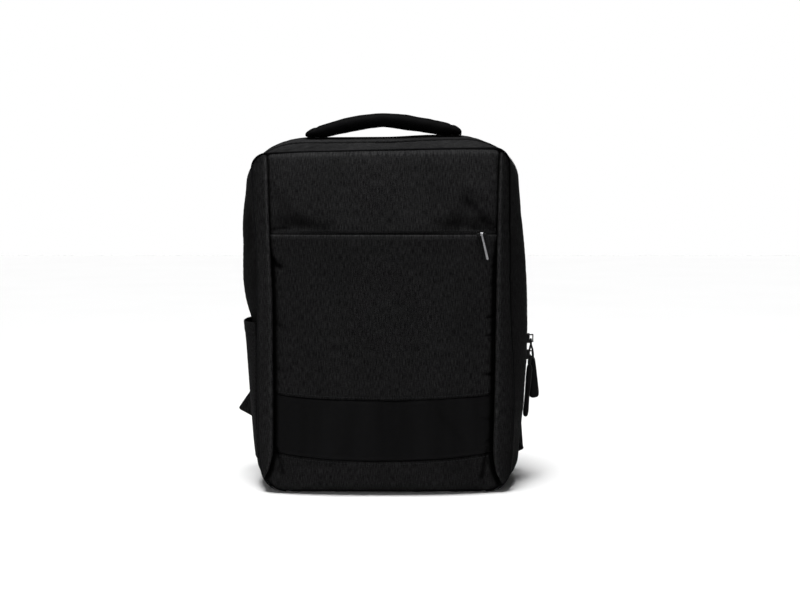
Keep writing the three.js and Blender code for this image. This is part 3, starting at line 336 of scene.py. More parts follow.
def ring_inward(along, ring):
    """The direction in the ring's plane that points into the bag."""
    step = 0.02
    x0, z0 = ring_point(np.maximum(along - step, 0), ring)
    x1, z1 = ring_point(np.minimum(along + step, RING_END), ring)
    length = np.hypot(z1 - z0, x0 - x1)
    return (z1 - z0) / length, (x0 - x1) / length


def seam_depth(height):
    return FRONT_SEAM_LEAN * (height / FRONT_HEIGHT - 0.5) - FRONT_SEAM_DEPTH


def ring_depth(ring, height):
    front = seam_depth(height) + FACE_WALL + SEAM_GAP
    return np.where(ring <= 1, mix(front, ZIP_DEPTH, ring), mix(ZIP_DEPTH, REAR_SEAM_DEPTH, ring - 1))


def ring_at_depth(depth, height):
    front = seam_depth(height) + FACE_WALL + SEAM_GAP
    ahead = np.maximum((depth - front) / (ZIP_DEPTH - front), 0)
    behind = np.minimum(1 + (depth - ZIP_DEPTH) / (REAR_SEAM_DEPTH - ZIP_DEPTH), 2)
    return np.where(depth < ZIP_DEPTH, ahead, behind)


def reach_at(side, height, ring):
    """How far the ring reaches to a side at a height."""
    low = np.zeros(np.broadcast(side, height, ring).shape)
    high = low + 3
    for _ in range(24):
        middle = (low + high) / 2
        below = side_of_ring(middle, ring, side)[1] < height
        low, high = np.where(below, middle, low), np.where(below, high, middle)
    return np.abs(side_of_ring(low, ring, side)[0])


UPRIGHT = np.linspace(0, 3, 1500)
ALONG_TOP = np.linspace(RING_END / 2, 2, 900)
FRONT_EDGE = {side: side_of_ring(UPRIGHT, 0, side) for side in (LEFT, RIGHT)}
FRONT_TOP = {side: side_of_ring(ALONG_TOP, 0, side) for side in (LEFT, RIGHT)}


def front_reach(side, height):
    left, right = (
        np.interp(height, FRONT_EDGE[s][1], np.abs(FRONT_EDGE[s][0])) for s in (LEFT, RIGHT))
    return np.where(np.asarray(side) < 0, left, right)


def front_top(x):
    left, right = (
        np.interp(np.abs(x), np.abs(FRONT_TOP[s][0]), FRONT_TOP[s][1]) for s in (LEFT, RIGHT))
    return np.where(np.asarray(x) < 0, left, right)


def seam_line(side, height):
    up = height / FRONT_HEIGHT
    return FRONT_HALF_WIDTH * np.where(
        np.asarray(side) < 0, read(FACE_LINES, "seamL", up), read(FACE_LINES, "seamR", up))


def face_seam(side, height):
    return np.minimum(seam_line(side, height), front_reach(side, height))


def face_depth(x, height):
    """The depth of the face's outer surface, without the pocket's lip."""
    side = np.where(x < 0, LEFT, RIGHT)
    seam = face_seam(side, height)
    up = np.clip(height / front_top(x), 0, 1)
    seams = read(FACE_LINES, "seams", up)
    inside = mix(read(FACE_LINES, "middle", up), seams, (np.abs(x) / seam) ** 3)
    for place, high_up, wide, high, deep, lean in FACE_DENTS:
        across = x / FRONT_HALF_WIDTH - place
        inside = inside - deep * fade(across, wide) * fade(up - high_up - lean * across, high)
    share = (np.abs(x) - seam) / np.maximum(front_reach(side, height) - seam, 0.5)
    outside = seams * np.cos(np.clip(share, 0, 1) * math.pi / 2)
    stand = np.where(np.abs(x) <= seam, inside, outside)
    return seam_depth(height) - FACE_BULGE * np.maximum(stand, 0)


def pocket_depth(x, height):
    seam = face_seam(np.where(x < 0, LEFT, RIGHT), height)
    across = np.maximum(1 - (np.abs(x) / seam) ** 4, 0)
    down = np.clip(1 - (MOUTH_HEIGHT - height) / LIP_FADE, 0, 1)
    return face_depth(x, height) - LIP_RISE * across * down * down


# Folds and slack of the cloth


def waves(u, v, seed, rough=0.6):
    """A smooth field between about -1 and 1 made of a few waves, the same at each run."""
    rng = np.random.default_rng(seed)
    total, weight = 0, 0
    for octave in range(4):
        for _ in range(3):
            angle, phase = rng.uniform(0, 2 * math.pi, 2)
            length = 2 ** octave * rng.uniform(0.7, 1.4)
            share = rough ** octave
            run = u * math.cos(angle) + v * math.sin(angle)
            total = total + share * np.sin(length * run + phase)
            weight += share
    return total / weight * 1.8


def gathers(along, away, seed, pitch=9.0, reach=11.0):
    """Small ripples that run out of a seam and die away from it."""
    place = along + 2.5 * waves(along / 28, along * 0, seed)
    strength = 0.55 + 0.45 * waves(along / 40, along * 0 + 3, seed + 1)
    ripples = strength * np.sin(place / pitch * 2 * math.pi)
    return ripples * np.exp(-away / reach) * (1 - np.exp(-away / 1.2))


# Making pieces


def eased(count, amount=0.35):
    """Places from 0 to 1 that lie closer together near both ends."""
    t = np.asarray(count, float)
    return mix(t, (1 - np.cos(t * math.pi)) / 2, amount)


def run_lengths(path):
    """The length along a path at each of its points."""
    steps = np.linalg.norm(np.diff(path, axis=0), axis=1)
    return np.concatenate([[0], np.cumsum(steps)])


def points_of(mesh):
    return np.array([v.co for v in mesh.vertices])


def set_points(mesh, points):
    for vert, co in zip(mesh.vertices, points):
        vert.co = co


def round_edges(bm, edges, size, segments=1, clamp=False):
    """Rounds edges of a solid by a size in millimetres."""
    bmesh.ops.bevel(
        bm, geom=edges, offset=size * MM, segments=segments, profile=0.5, affect="EDGES",
        clamp_overlap=clamp, material=-1)


def mesh_object(name, bm, material=None, smooth=True):
    mesh = bpy.data.meshes.new(name)
    bm.to_mesh(mesh)
    bm.free()
    piece = bpy.data.objects.new(name, mesh)
    bpy.context.scene.collection.objects.link(piece)
    if smooth:
        mesh.shade_smooth()
    if material:
        mesh.materials.append(material)
    return piece


def surface(name, across, up, shape, material, wall=0, closed=False):
    """A grid of cloth laid on a shape, with its UV map in real lengths.

    shape takes two arrays from 0 to 1 and gives the points, in millimetres, the two lengths
    along the cloth and, if the cloth has it, a scale of its colour: painted shade below 0, as in a
    seam, and painted highlight above 0, as on a ridge; on the piping it also holds its own tone.
    closed joins the two upright edges into a tube.
    """
    bm = bmesh.new()
    bm.loops.layers.uv.new("UVMap")
    bmesh.ops.create_grid(bm, x_segments=across, y_segments=up, size=0.5, calc_uvs=True)
    bm.verts.ensure_lookup_table()
    flat = np.array([v.co for v in bm.verts]) + 0.5
    points, lengths, *tone_and_painted_light = shape(flat[:, 0], flat[:, 1])
    points = np.stack([np.broadcast_to(p, flat[:, 0].shape) for p in points], 1) * MM
    lengths = np.stack([np.broadcast_to(p, flat[:, 0].shape) for p in lengths], 1) * MM
    for vert, point in zip(bm.verts, points):
        vert.co = point
    layer = bm.loops.layers.uv.active
    for face in bm.faces:
        for loop in face.loops:
            loop[layer].uv = lengths[loop.vert.index]
    # Each point keeps its colour scale of painted shade and highlight, and on the piping its own
    # tone.
    if tone_and_painted_light:
        layer = bm.verts.layers.float.new("tone_and_painted_light")
        for vert, value in zip(bm.verts, tone_and_painted_light[0]):
            vert[layer] = value
    if closed:
        bmesh.ops.remove_doubles(bm, verts=bm.verts, dist=0.02 * MM)
        bmesh.ops.holes_fill(bm, edges=bm.edges, sides=0)
        face_out(bm)
    piece = mesh_object(name, bm, material)
    if wall:
        solidify = piece.modifiers.new("Wall", "SOLIDIFY")
        solidify.thickness = wall * MM
        solidify.offset = -1
        solidify.use_even_offset = False
    return piece


def facing_out(piece, inside):
    """Turns an open sheet so that its normals point away from a point inside the bag."""
    mesh = piece.data
    centre = Vector(inside) * MM
    score = sum(p.normal.dot(p.center - centre) * p.area for p in mesh.polygons)
    if score < 0:
        mesh.flip_normals()
    return piece


def face_out(bm):
    bmesh.ops.recalc_face_normals(bm, faces=bm.faces)


BAG_CENTRE = (0, 10, 190)


def put(piece, *nodes, slot=None, body="bag"):
    """Fixes a finished piece to a body, in place of CAD nodes."""
    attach(piece, body)
    if nodes:
        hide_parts(*nodes)
    return piece


def unit(v):
    v = np.asarray(v, float)
    return v / np.maximum(np.linalg.norm(v, axis=-1, keepdims=True), 1e-12)


def frame_matrix(centre, x, y, z, scale=(1, 1, 1)):
    """A matrix with its axes along x, y and z at a centre in millimetres."""
    columns = [Vector(a) * s for a, s in zip((x, y, z), scale)]
    matrix = Matrix((columns[0], columns[1], columns[2])).transposed().to_4x4()
    matrix.translation = Vector(centre)
    return Matrix.Scale(MM, 4) @ matrix


def spaced(path, step):
    """Points along a path at even steps, with the way along it at each."""
    path = np.asarray(path, float)
    length = run_lengths(path)
    count = max(int(length[-1] / step), 1)
    at = (np.arange(count) + 0.5) / count * length[-1]
    points, ahead, behind = (
        np.stack([np.interp(place, length, path[:, i]) for i in range(3)], 1)
        for place in (at, np.minimum(at + 0.5, length[-1]), np.maximum(at - 0.5, 0)))
    return points, unit(ahead - behind)


def sew(bm, path, outward, step=3.4, thread=0.32):
    """Adds a row of stitches along a path that lies on a surface."""
    length = sizes().stitch_length / MM
    points, ways = spaced(path, step)
    for point, way in zip(points, ways):
        out = outward(point) if callable(outward) else np.asarray(outward, float)
        out = unit(out - way * np.dot(out, way))
        side = np.cross(out, way)
        matrix = frame_matrix(point, way, side, out, (length / 2, thread, thread))
        bmesh.ops.create_uvsphere(bm, u_segments=6, v_segments=4, radius=1, matrix=matrix)


# Materials


def new_material(name):
    material = bpy.data.materials.new(name)
    material.use_nodes = True
    tree = material.node_tree
    return material, tree, tree.nodes["Principled BSDF"]


def feed(tree, socket, value):
    """Links another node's output to a socket, or sets its value."""
    if isinstance(value, bpy.types.NodeSocket):
        tree.links.new(value, socket)
    else:
        socket.default_value = value


def node(tree, kind, inputs=None, **settings):
    """Adds a node, sets its fields, and links or fills its inputs."""
    made = tree.nodes.new(kind)
    for key, value in settings.items():
        setattr(made, key, value)
    for key, value in (inputs or {}).items():
        feed(tree, made.inputs[key], value)
    return made


def math_node(tree, operation, a, b=0.0):
    return node(tree, "ShaderNodeMath", {0: a, 1: b}, operation=operation).outputs[0]


def weighted(tree, a, a_share, b, b_share):
    """The sum of two fields, each times its share."""
    return math_node(
        tree, "ADD", math_node(tree, "MULTIPLY", a, a_share), math_node(tree, "MULTIPLY", b, b_share))


def scaled(colour, share):
    return tuple(c * share for c in colour)


def coordinates(tree, source, scale, turn=(0, 0, 0)):
    """Coordinates scaled so that one step of a pattern is one of the given lengths, in mm."""
    start = node(tree, "ShaderNodeTexCoord").outputs[source]
    steps = [1 / (s * MM) for s in scale]
    inputs = {"Vector": start, "Scale": steps, "Rotation": turn}
    return node(tree, "ShaderNodeMapping", inputs).outputs[0]


def noise(tree, vector, detail=2.0, rough=0.55):
    return node(tree, "ShaderNodeTexNoise", {
        "Vector": vector, "Scale": 1.0, "Detail": detail, "Roughness": rough}).outputs["Fac"]


def ranged(tree, value, low, high, to_low=0.0, to_high=1.0):
    return node(tree, "ShaderNodeMapRange", {
        "Value": value, "From Min": low, "From Max": high, "To Min": to_low, "To Max": to_high,
    }).outputs[0]


def mixed(tree, factor, a, b):
    """A mix of two plain colours."""
    made = node(tree, "ShaderNodeMix", data_type="RGBA")
    feed(tree, made.inputs[0], factor)
    feed(tree, made.inputs[6], (*a, 1))
    feed(tree, made.inputs[7], (*b, 1))
    return made.outputs[2]


def paint(tree, shader, factor, a, b):
    """Colours a material between two plain colours."""
    tree.links.new(mixed(tree, factor, a, b), shader.inputs["Base Color"])


def roughen(tree, shader, field, low, high):
    """Moves a material's roughness between two values."""
    tree.links.new(ranged(tree, field, 0.3, 0.7, low, high), shader.inputs["Roughness"])


def weave(tree, source, pitch):
    """The height of a plain weave: threads over and under, one pitch apart."""
    place = coordinates(tree, source, (pitch, pitch, pitch))
    parts = node(tree, "ShaderNodeSeparateXYZ", {0: place}).outputs
    turns = [math_node(tree, "SINE", math_node(tree, "MULTIPLY", p, math.pi)) for p in parts[:3]]
    if source == "UV":
        return math_node(tree, "MULTIPLY", turns[0], turns[1])
    flat = math_node(tree, "ADD", math_node(tree, "MULTIPLY", turns[0], turns[2]),
                     math_node(tree, "MULTIPLY", turns[1], turns[2]))
    return math_node(tree, "MULTIPLY", flat, 0.5)


def bumped(tree, shader, height, strength, distance, under=None):
    inputs = {"Height": height, "Strength": strength, "Distance": distance * MM}
    if under:
        inputs["Normal"] = under
    out = node(tree, "ShaderNodeBump", inputs).outputs[0]
    tree.links.new(out, shader.inputs["Normal"])
    return out


def finish_cloth(shader, rough, specular, sheen):
    shader.inputs["Roughness"].default_value = rough
    shader.inputs["Specular IOR Level"].default_value = specular
    shader.inputs["Sheen Weight"].default_value = sheen
    shader.inputs["Sheen Roughness"].default_value = 0.45


def shaded(tree, colour, shade, shader):
    """Scales a colour by a tone and by the cloth's painted light: painted shade below 0, painted
    highlight above 0.
    """
    tone_and_painted_light = node(tree, "ShaderNodeAttribute", attribute_name="tone_and_painted_light").outputs["Fac"]
    scale = math_node(tree, "MULTIPLY", shade, math_node(tree, "ADD", tone_and_painted_light, 1.0))
    tinted = node(tree, "ShaderNodeVectorMath", {0: colour}, operation="SCALE")
    tree.links.new(scale, tinted.inputs["Scale"])
    tree.links.new(tinted.outputs[0], shader.inputs["Base Color"])


def heather_cloth(name, source, streak=(0.85, 8.0), light=1.0):
    """Matt cloth of dark and light yarn, with fine upright flecks."""
    material, tree, shader = new_material(name)
    wide, long = streak
    upright = (wide, long, 1) if source == "UV" else (wide, wide, long)
    level = (long * 0.5, wide * 0.8, 1) if source == "UV" else (long * 0.5, long * 0.5, wide * 0.8)
    flecks = noise(tree, coordinates(tree, source, upright), 3.0, 0.62)
    cross = noise(tree, coordinates(tree, source, level), 2.0, 0.6)
    blotch = noise(tree, coordinates(tree, source, (38, 55, 55)), 2.0, 0.5)
    yarn = weighted(tree, flecks, 0.7, cross, 0.3)
    share = ranged(tree, yarn, 0.40, 0.62)
    s = sizes()
    dark, pale = scaled(s.heather_dark, light), scaled(s.heather_light, light)
    colour = mixed(tree, share, dark, pale)
    shade = ranged(tree, blotch, 0.3, 0.7, 0.90, 1.10)
    shaded(tree, colour, shade, shader)
    tree.links.new(ranged(tree, share, 0, 1, 0.98, 0.86), shader.inputs["Roughness"])
    finish_cloth(shader, 0.95, 0.03, 0.003)
    fuzz = bumped(tree, shader, flecks, 0.35, 0.30)
    bumped(tree, shader, weave(tree, source, 0.55), 0.5, 0.10, fuzz)
    return material


def close_cloth(name, source, colour, rough=0.62, specular=0.04, pitch=0.42, zones=(26, 240)):
    """Smooth close weave with faint upright zones of light and dark."""
    material, tree, shader = new_material(name)
    wide, tall = zones
    upright = (wide, tall, 1) if source == "UV" else (wide, wide, tall)
    zone = noise(tree, coordinates(tree, source, upright), 2.0, 0.5)
    yarn = noise(tree, coordinates(tree, source, (0.9, 2.2, 2.2)), 2.0, 0.6)
    share = weighted(tree, zone, 0.7, yarn, 0.3)
    dark, pale = scaled(colour, 0.55), scaled(colour, 1.15)
    shaded(tree, mixed(tree, ranged(tree, share, 0.35, 0.65), dark, pale), 1.0, shader)
    roughen(tree, shader, yarn, rough - 0.06, rough + 0.06)
    finish_cloth(shader, rough, specular, 0.003)
    fuzz = bumped(tree, shader, yarn, 0.2, 0.15)
    bumped(tree, shader, weave(tree, source, pitch), 0.4, 0.06, fuzz)
    return material


def ribbed_cloth(name, source, colour, pitch=1.5, axis=0, rough=0.75):
    """Webbing or tape: ribs along its length with a fine twill between them."""
    material, tree, shader = new_material(name)
    place = coordinates(tree, source, (pitch, pitch, pitch))
    parts = node(tree, "ShaderNodeSeparateXYZ", {0: place}).outputs
    ribs = math_node(tree, "SINE", math_node(tree, "MULTIPLY", parts[axis], 2 * math.pi))
    slant = math_node(tree, "ADD", parts[axis], math_node(tree, "MULTIPLY", parts[1 - axis], 1.6))
    twill = math_node(tree, "SINE", math_node(tree, "MULTIPLY", slant, 2 * math.pi))
    yarn = noise(tree, coordinates(tree, source, (0.7, 0.7, 0.7)), 2.0)
    height = math_node(tree, "ADD", ribs, math_node(tree, "MULTIPLY", twill, 0.5))
    dark, pale = scaled(colour, 0.6), scaled(colour, 1.7)
    paint(tree, shader, ranged(tree, height, -1.5, 1.5), dark, pale)
    roughen(tree, shader, yarn, rough - 0.08, rough + 0.08)
    finish_cloth(shader, rough, 0.15, 0.02)
    bumped(tree, shader, height, 0.6, 0.18)
    return material


def moulded(name, colour, rough=0.5, specular=0.10, grain=0.35):
    """Moulded plastic or rubber with a fine grain and slightly worn, paler edges."""
    material, tree, shader = new_material(name)
    grains = noise(tree, coordinates(tree, "Object", (grain, grain, grain)), 2.0)
    smear = noise(tree, coordinates(tree, "Object", (9, 9, 14)), 3.0)
    edge = node(tree, "ShaderNodeNewGeometry").outputs["Pointiness"]
    rubs = math_node(tree, "ADD", edge, math_node(tree, "MULTIPLY", smear, 0.03))
    worn = ranged(tree, rubs, 0.53, 0.62)
    pale = scaled(colour, 2.2)
    paint(tree, shader, worn, colour, pale)
    roughen(tree, shader, smear, rough - 0.07, rough + 0.09)
    shader.inputs["Specular IOR Level"].default_value = specular
    bumped(tree, shader, grains, 0.25, 0.06)
    return material


def satin_metal(name, colour, rough=0.36, metallic=1.0):
    """Metal with fine lines along its length and a few small marks."""
    material, tree, shader = new_material(name)
    lines = noise(tree, coordinates(tree, "Object", (0.25, 0.25, 6)), 2.0)
    marks = noise(tree, coordinates(tree, "Object", (2.2, 2.2, 2.2)), 3.0)
    dark = scaled(colour, 0.75)
    paint(tree, shader, ranged(tree, marks, 0.35, 0.6), dark, colour)
    roughen(tree, shader, lines, rough - 0.08, rough + 0.12)
    shader.inputs["Metallic"].default_value = metallic
    shader.inputs["Specular IOR Level"].default_value = 0.15
    bumped(tree, shader, lines, 0.15, 0.04)
    return material


MATERIALS = {}


def material(key):
    """Each material is made once."""
    if key not in MATERIALS:
        s = sizes()
        smooth, trim = tuple(s.smooth_cloth), tuple(s.trim)
        makers = {
            "heather": lambda: heather_cloth("heather_cloth", "UV"),
            "heather_pad": lambda: heather_cloth("heather_pad_cloth", "Object"),
            "stretch": lambda: heather_cloth("stretch_cloth", "UV", (0.8, 2.6), 0.72),
            "band": lambda: close_cloth("band_cloth", "UV", smooth),
            "handle": lambda: close_cloth(
                "handle_cloth", "Object", scaled(smooth, 0.5), 0.7, 0.03, 0.42, (12, 30)),
            "piping": lambda: close_cloth("piping_cloth", "UV", smooth, 0.8, 0.02),
            "trim": lambda: close_cloth("trim_cloth", "UV", trim, 0.7, 0.06),
            "mesh": lambda: close_cloth("spacer_mesh", "Object", trim, 0.9, 0.2, 1.6, (60, 60)),
            "webbing": lambda: ribbed_cloth("webbing_cloth", "UV", trim, 1.6),
            "tape": lambda: ribbed_cloth("zip_tape", "UV", trim, 0.8, 1),
            "cord": lambda: ribbed_cloth("braided_cord", "UV", scaled(trim, 0.45), 1.1),
            "coil": lambda: moulded("zip_coil", scaled(trim, 0.6), 0.5, 0.08, 0.5),
            "buckle": lambda: moulded("buckle_plastic", trim),
            "rubber": lambda: moulded("pull_rubber", scaled(trim, 0.45), 0.6, 0.05),
            "thread": lambda: moulded("sewing_thread", scaled(trim, 1.5), 0.8, 0.03, 0.2),
            "slider": lambda: satin_metal("slider_paint", scaled(trim, 0.4), 0.5, 0.0),
            "pull": lambda: satin_metal("pull_metal", tuple(s.pull_grey)),
        }
        MATERIALS[key] = makers[key]()
    return MATERIALS[key]


# The face


def grid_count(length):
    return max(int(length / (sizes().grid_step / MM)), 4)


def edge_roll(away, deep=1.0, wide=1.0):
    s = sizes()
    return deep * s.seam_roll / MM * fade(away, wide * s.seam_width / MM)


def relief_painted_light(inward, to_seam):
    """Painted light of a panel from how far its cloth lies in or stands out: painted shade where it
    sinks and near its seam, painted highlight where it stands proud.
    """
    sunk = np.clip((inward - 0.5) / 2.6, 0, 1) ** 0.8
    proud = np.clip((-inward - 0.7) / 2.0, 0, 1)
    return -0.72 * sunk + 0.5 * proud - 0.15 * fade(to_seam, 7) - 0.3 * fade(to_seam, 2.6)


# How deep and wide the upright seams' grooves are above and below the mouth, and where that
# changes.
GROOVE_DEPTH, GROOVE_WIDTH = (3.4, 5.6), (2.4, 4.9)
GROOVE_CHANGE, GROOVE_BLEND = MOUTH_HEIGHT - 22, 4


def below_step(height, level, blend):
    """A soft step: 1 below a level and 0 above it."""
    return 1 / (1 + np.exp((height - level) / blend))


def upright_groove(away, height):
    """The panel's edge beside an upright seam: it dives under the wing, deeper below the mouth."""
    below = below_step(height, GROOVE_CHANGE, GROOVE_BLEND)
    return mix(*GROOVE_DEPTH, below) * fade(away, mix(*GROOVE_WIDTH, below))


def folds(x, height, rows):
    """Single folds: each a soft groove along a line from one place to another."""
    total = 0
    for x0, z0, x1, z1, wide, deep in rows:
        run = np.array([x1 - x0, z1 - z0], float)
        length = np.hypot(*run)
        ahead = ((x - x0) * run[0] + (height - z0) * run[1]) / length
        aside = ((x - x0) * -run[1] + (height - z0) * run[0]) / length
        past = np.maximum(np.maximum(-ahead, ahead - length), 0)
        total = total + deep * fade(aside, wide) * fade(past, wide * 1.6)
    return total


# Each panel's rolled edges (depth and width as shares of the seam roll), its painted light overall,
# the painted light along its top edge and its place, how much lighter it is along its hem's
# stitches, and the painted highlight on its foot; above 0 is painted highlight, below 0 painted
# shade.
FACE_ROLLS_AND_PAINTED_LIGHT = {
    name: dict(zip(("low_roll", "high_roll", "all", "edge", "edge_at", "hem", "foot"), row))
    for name, *row in (
        ("front_lower_panel", (0.9, 1.0), (0.6, 0.8), -0.13, -0.3, 0.2, 0.0, 0.0),
        ("front_band", (0.6, 0.8), (0.6, 0.8), -0.10, -0.2, 0.2, 0.0, 0.0),
        ("front_pocket_panel", (0.6, 0.8), (0.8, 0.6), -0.14, 0.9, 0.4, 0.35, 0.0),
        ("front_upper_panel", (0.8, 0.6), (0.5, 0.8), 0.10, 0.8, 2.0, 0.5, 0.35),
    )
}
TAPE_REST, HEM_STITCH, RIGHT_SEAM_SHADE = 2.1, 4.4, 0.40


def face_shape(low, high, low_gap, high_gap, depth, rolls_and_painted_light, seed):
    """The shape of a panel of the face between two seams across it."""
    low_roll, high_roll = rolls_and_painted_light["low_roll"], rolls_and_painted_light["high_roll"]

    def place(u, v):
        u, v = eased(u), eased(v, 0.3)
        ends = []
        for side in (LEFT, RIGHT):
            x = side * FRONT_HALF_WIDTH * 0.88 + 0 * v
            for _ in range(6):
                height = mix(low(x) + low_gap, high(x) - high_gap, v)
                x = side * (face_seam(side, height) - SEAM_GAP / 2)
            ends.append(x)
        x = mix(ends[0], ends[1], u)
        height = mix(low(x) + low_gap, high(x) - high_gap, v)
        to_seam = np.minimum(x - ends[0], ends[1] - x)
        to_low, to_high = height - low(x), high(x) - height
        s = sizes()
        inward = upright_groove(to_seam, height)
        inward = inward + edge_roll(to_low, *low_roll) + edge_roll(to_high, *high_roll)
        inward = inward - s.slack / MM * waves(x / 34, height / 46, seed) * (1 - fade(to_seam, 12))
        inward = inward - s.pucker / MM * gathers(height, to_seam, seed + 5)
        inward = inward - 0.7 * s.pucker / MM * (
            gathers(x, to_low, seed + 9, 12, 8) + gathers(x, to_high, seed + 13, 12, 8))
        inward = inward + folds(x, height, FACE_FOLDS)
        past_tape = np.maximum(np.abs(height - MOUTH_HEIGHT) - POCKET_TAPE_HEIGHT / 2, 0)
        laid = np.minimum(inward, TAPE_REST + 0.5 * past_tape + 6 * fade(to_seam, 2.5))
        # Painted light on the panel: painted shade where the cloth sinks, near its seams and beside
        # the right seam below the mouth; painted highlight where it stands proud; then the panel's
        # own painted light, its top edge's, its hem line and its foot.
        tone_and_painted_light = relief_painted_light(np.where(to_high < 4, inward - edge_roll(to_high, *high_roll), inward), to_seam)
        tone_and_painted_light = tone_and_painted_light + rolls_and_painted_light["all"] + rolls_and_painted_light["edge"] * fade(to_high - rolls_and_painted_light["edge_at"], 1.1)
        tone_and_painted_light = tone_and_painted_light + rolls_and_painted_light["hem"] * fade(to_high - HEM_STITCH, 0.9)
        tone_and_painted_light = tone_and_painted_light + rolls_and_painted_light["foot"] * fade(to_low, 1.6)
        tone_and_painted_light = tone_and_painted_light - RIGHT_SEAM_SHADE * fade(ends[1] - x - 3, 4) * (height < MOUTH_HEIGHT - 8)
        return (x, depth(x, height) + laid, height), (x, height), tone_and_painted_light
    return place


# The seams and edges across the face, by their heights.


def base_edge(x):
    return 0 * x


def band_base(x):
    return BAND_BASE + BAND_BASE_RISE * (x / FRONT_HALF_WIDTH) ** 2


def band_top(x):
    return BAND_TOP + BAND_TOP_RISE * (x / FRONT_HALF_WIDTH) ** 2


def lip(x):
    return MOUTH_HEIGHT - MOUTH_GAP / 2 + 0 * x


def welt(x):
    """The upper panel's lower edge, which hangs a little over the mouth."""
    return MOUTH_HEIGHT - WELT_OVERHANG + 0 * x


def face_panels():
    half = SEAM_GAP / 2
    wide = grid_count(250)
    rows = (
        ("front_lower_panel", base_edge, band_base, 0, half, face_depth, 11, "heather", 50),
        ("front_band", band_base, band_top, half, half, face_depth, 12, "band", 70),
        ("front_pocket_panel", band_top, lip, half, 0, pocket_depth, 13, "heather", 180),
        ("front_upper_panel", welt, front_top, 0, 0, face_depth, 14, "heather", 95),
    )
    slots = {"heather": "heather_cloth", "band": "smooth_cloth"}
    for name, low, high, low_gap, high_gap, depth, seed, cloth, tall in rows:
        shape = face_shape(low, high, low_gap, high_gap, depth, FACE_ROLLS_AND_PAINTED_LIGHT[name], seed)
        piece = surface(name + "_cloth", wide, grid_count(tall), shape, material(cloth), FACE_SHEET)
        put(facing_out(piece, BAG_CENTRE), name, slot=slots[cloth])


# A wing's points across it, how far its sewn edge is tucked in, its raised ridge, and the painted
# shade that darkens it towards its outer edge, more on the right.
WING_COLUMNS, TUCK, TUCK_DEPTH = 18, 5, 8
RIDGE_HEIGHT, RIDGE_PLACE, RIDGE_WIDTH, RIDGE_OVERHANG = 1.9, 1.6, 2.2, 1.3
WING_PAINTED_SHADE = {LEFT: -0.25, RIGHT: -0.62}


def wing_end(side, start, stop):
    """Where the wing is just wide enough to be sewn."""
    narrow, wide = start, stop
    for _ in range(24):
        middle = (narrow + wide) / 2
        if front_reach(side, middle) - seam_line(side, middle) < 1:
            narrow = middle
        else:
            wide = middle
    return wide


def wing_shape(side):
    top = wing_end(side, float(top_height(side, 0)), FRONT_HEIGHT / 2)
    foot = wing_end(side, 0, FRONT_HEIGHT / 2)

    def place(u, v):
        column = u * WING_COLUMNS
        tucked, turned_in = np.clip(1 - column, 0, 1), np.clip(2 - column, 0, 1)
        u, v = eased(np.clip((column - 2) / (WING_COLUMNS - 2), 0, 1)), eased(v, 0.3)
        height = mix(foot, top, v)
        start = seam_line(side, height) + SEAM_GAP / 2
        stop = front_reach(side, height)
        out = mix(start, stop, u)
        to_seam, to_edge = out - start, stop - out
        s = sizes()
        share = np.clip((stop - start) / 14, 0, 1)
        ridge = RIDGE_HEIGHT * fade(to_seam - RIDGE_PLACE, RIDGE_WIDTH) * share
        out = out - RIDGE_OVERHANG * fade(to_seam - 0.8, 2.0) * share
        inward = edge_roll(to_seam, 1.3, 0.35) + edge_roll(to_edge, 0.1, 0.5) - ridge
        bends = waves(out / 2.6 + waves(height / 60, 0 * height, 37 + side), height / 95, 39 + side)
        inward = inward - 0.55 * share * bends * (1 - fade(to_seam, 4))
        inward = inward - s.pucker / MM * gathers(height, to_seam, 31 + side, 9, 8)
        inward = inward - 0.5 * s.slack / MM * waves(out / 30, height / 40, 33 + side)
        on_face = side * np.maximum(out, start)
        # Painted light on the wing: painted shade towards its outer edge, in its sunk folds and on
        # its tucked-in edge; painted highlight along the ridge beside the seam, stronger above the
        # mouth.
        painted_outer_shade = WING_PAINTED_SHADE[side] * np.clip((out - start) / np.maximum(stop - start, 1), 0, 1)
        above = 1 - below_step(height, GROOVE_CHANGE, 9)
        tone_and_painted_light = relief_painted_light(inward, to_seam + 9) + painted_outer_shade - 0.16 * share * np.clip(-bends, 0, 1)
        tone_and_painted_light = tone_and_painted_light + mix(0.25, 1.0, above) * share * fade(to_seam - 1.7, 1.1) - 0.9 * turned_in
        out = out - 0.3 * turned_in - TUCK * tucked
        inward = mix(inward, TUCK_DEPTH, turned_in)
        return (side * out, face_depth(on_face, height) + inward, height), (out, height), tone_and_painted_light
    return place


def wings():
    tall = grid_count(360)
    for name, side in (("wing_left", LEFT), ("wing_right", RIGHT)):
        piece = surface(
            name + "_cloth", WING_COLUMNS, tall, wing_shape(side), material("heather"), FACE_SHEET)
        put(facing_out(piece, BAG_CENTRE), name, slot="heather_cloth")


def tube(name, path, radius, material, sides=10, frame_up=(0, 1, 0), taper=0.0, tone_and_painted_light=None):
    """A closed round tube along a path of points."""
    path = np.asarray(path, float)
    radius = np.broadcast_to(radius, (len(path),))
    length = run_lengths(path)
    ways = unit(np.gradient(path, axis=0))
    normal = unit(np.cross(ways[0], frame_up))
    normals = []
    for way in ways:
        normal = unit(normal - way * np.dot(normal, way))
        normals.append(normal)
    normals = np.array(normals)
    sides_way = np.cross(ways, normals)

    def place(u, v):
        row = np.rint(v * (len(path) - 1)).astype(int)
        turn = u * 2 * math.pi
        to_end = np.minimum(length[row], length[-1] - length[row])
        size = radius[row] * (1 - taper * np.clip(1 - to_end / 6, 0, 1) ** 2)
        points = path[row] + size[:, None] * (
            normals[row] * np.cos(turn)[:, None] + sides_way[row] * np.sin(turn)[:, None])
        result = tuple(points.T), (u * 2 * math.pi * radius[row], length[row])
        return result if tone_and_painted_light is None else (*result, tone_and_painted_light[row])
    return surface(name, sides, len(path) - 1, place, material, closed=True)


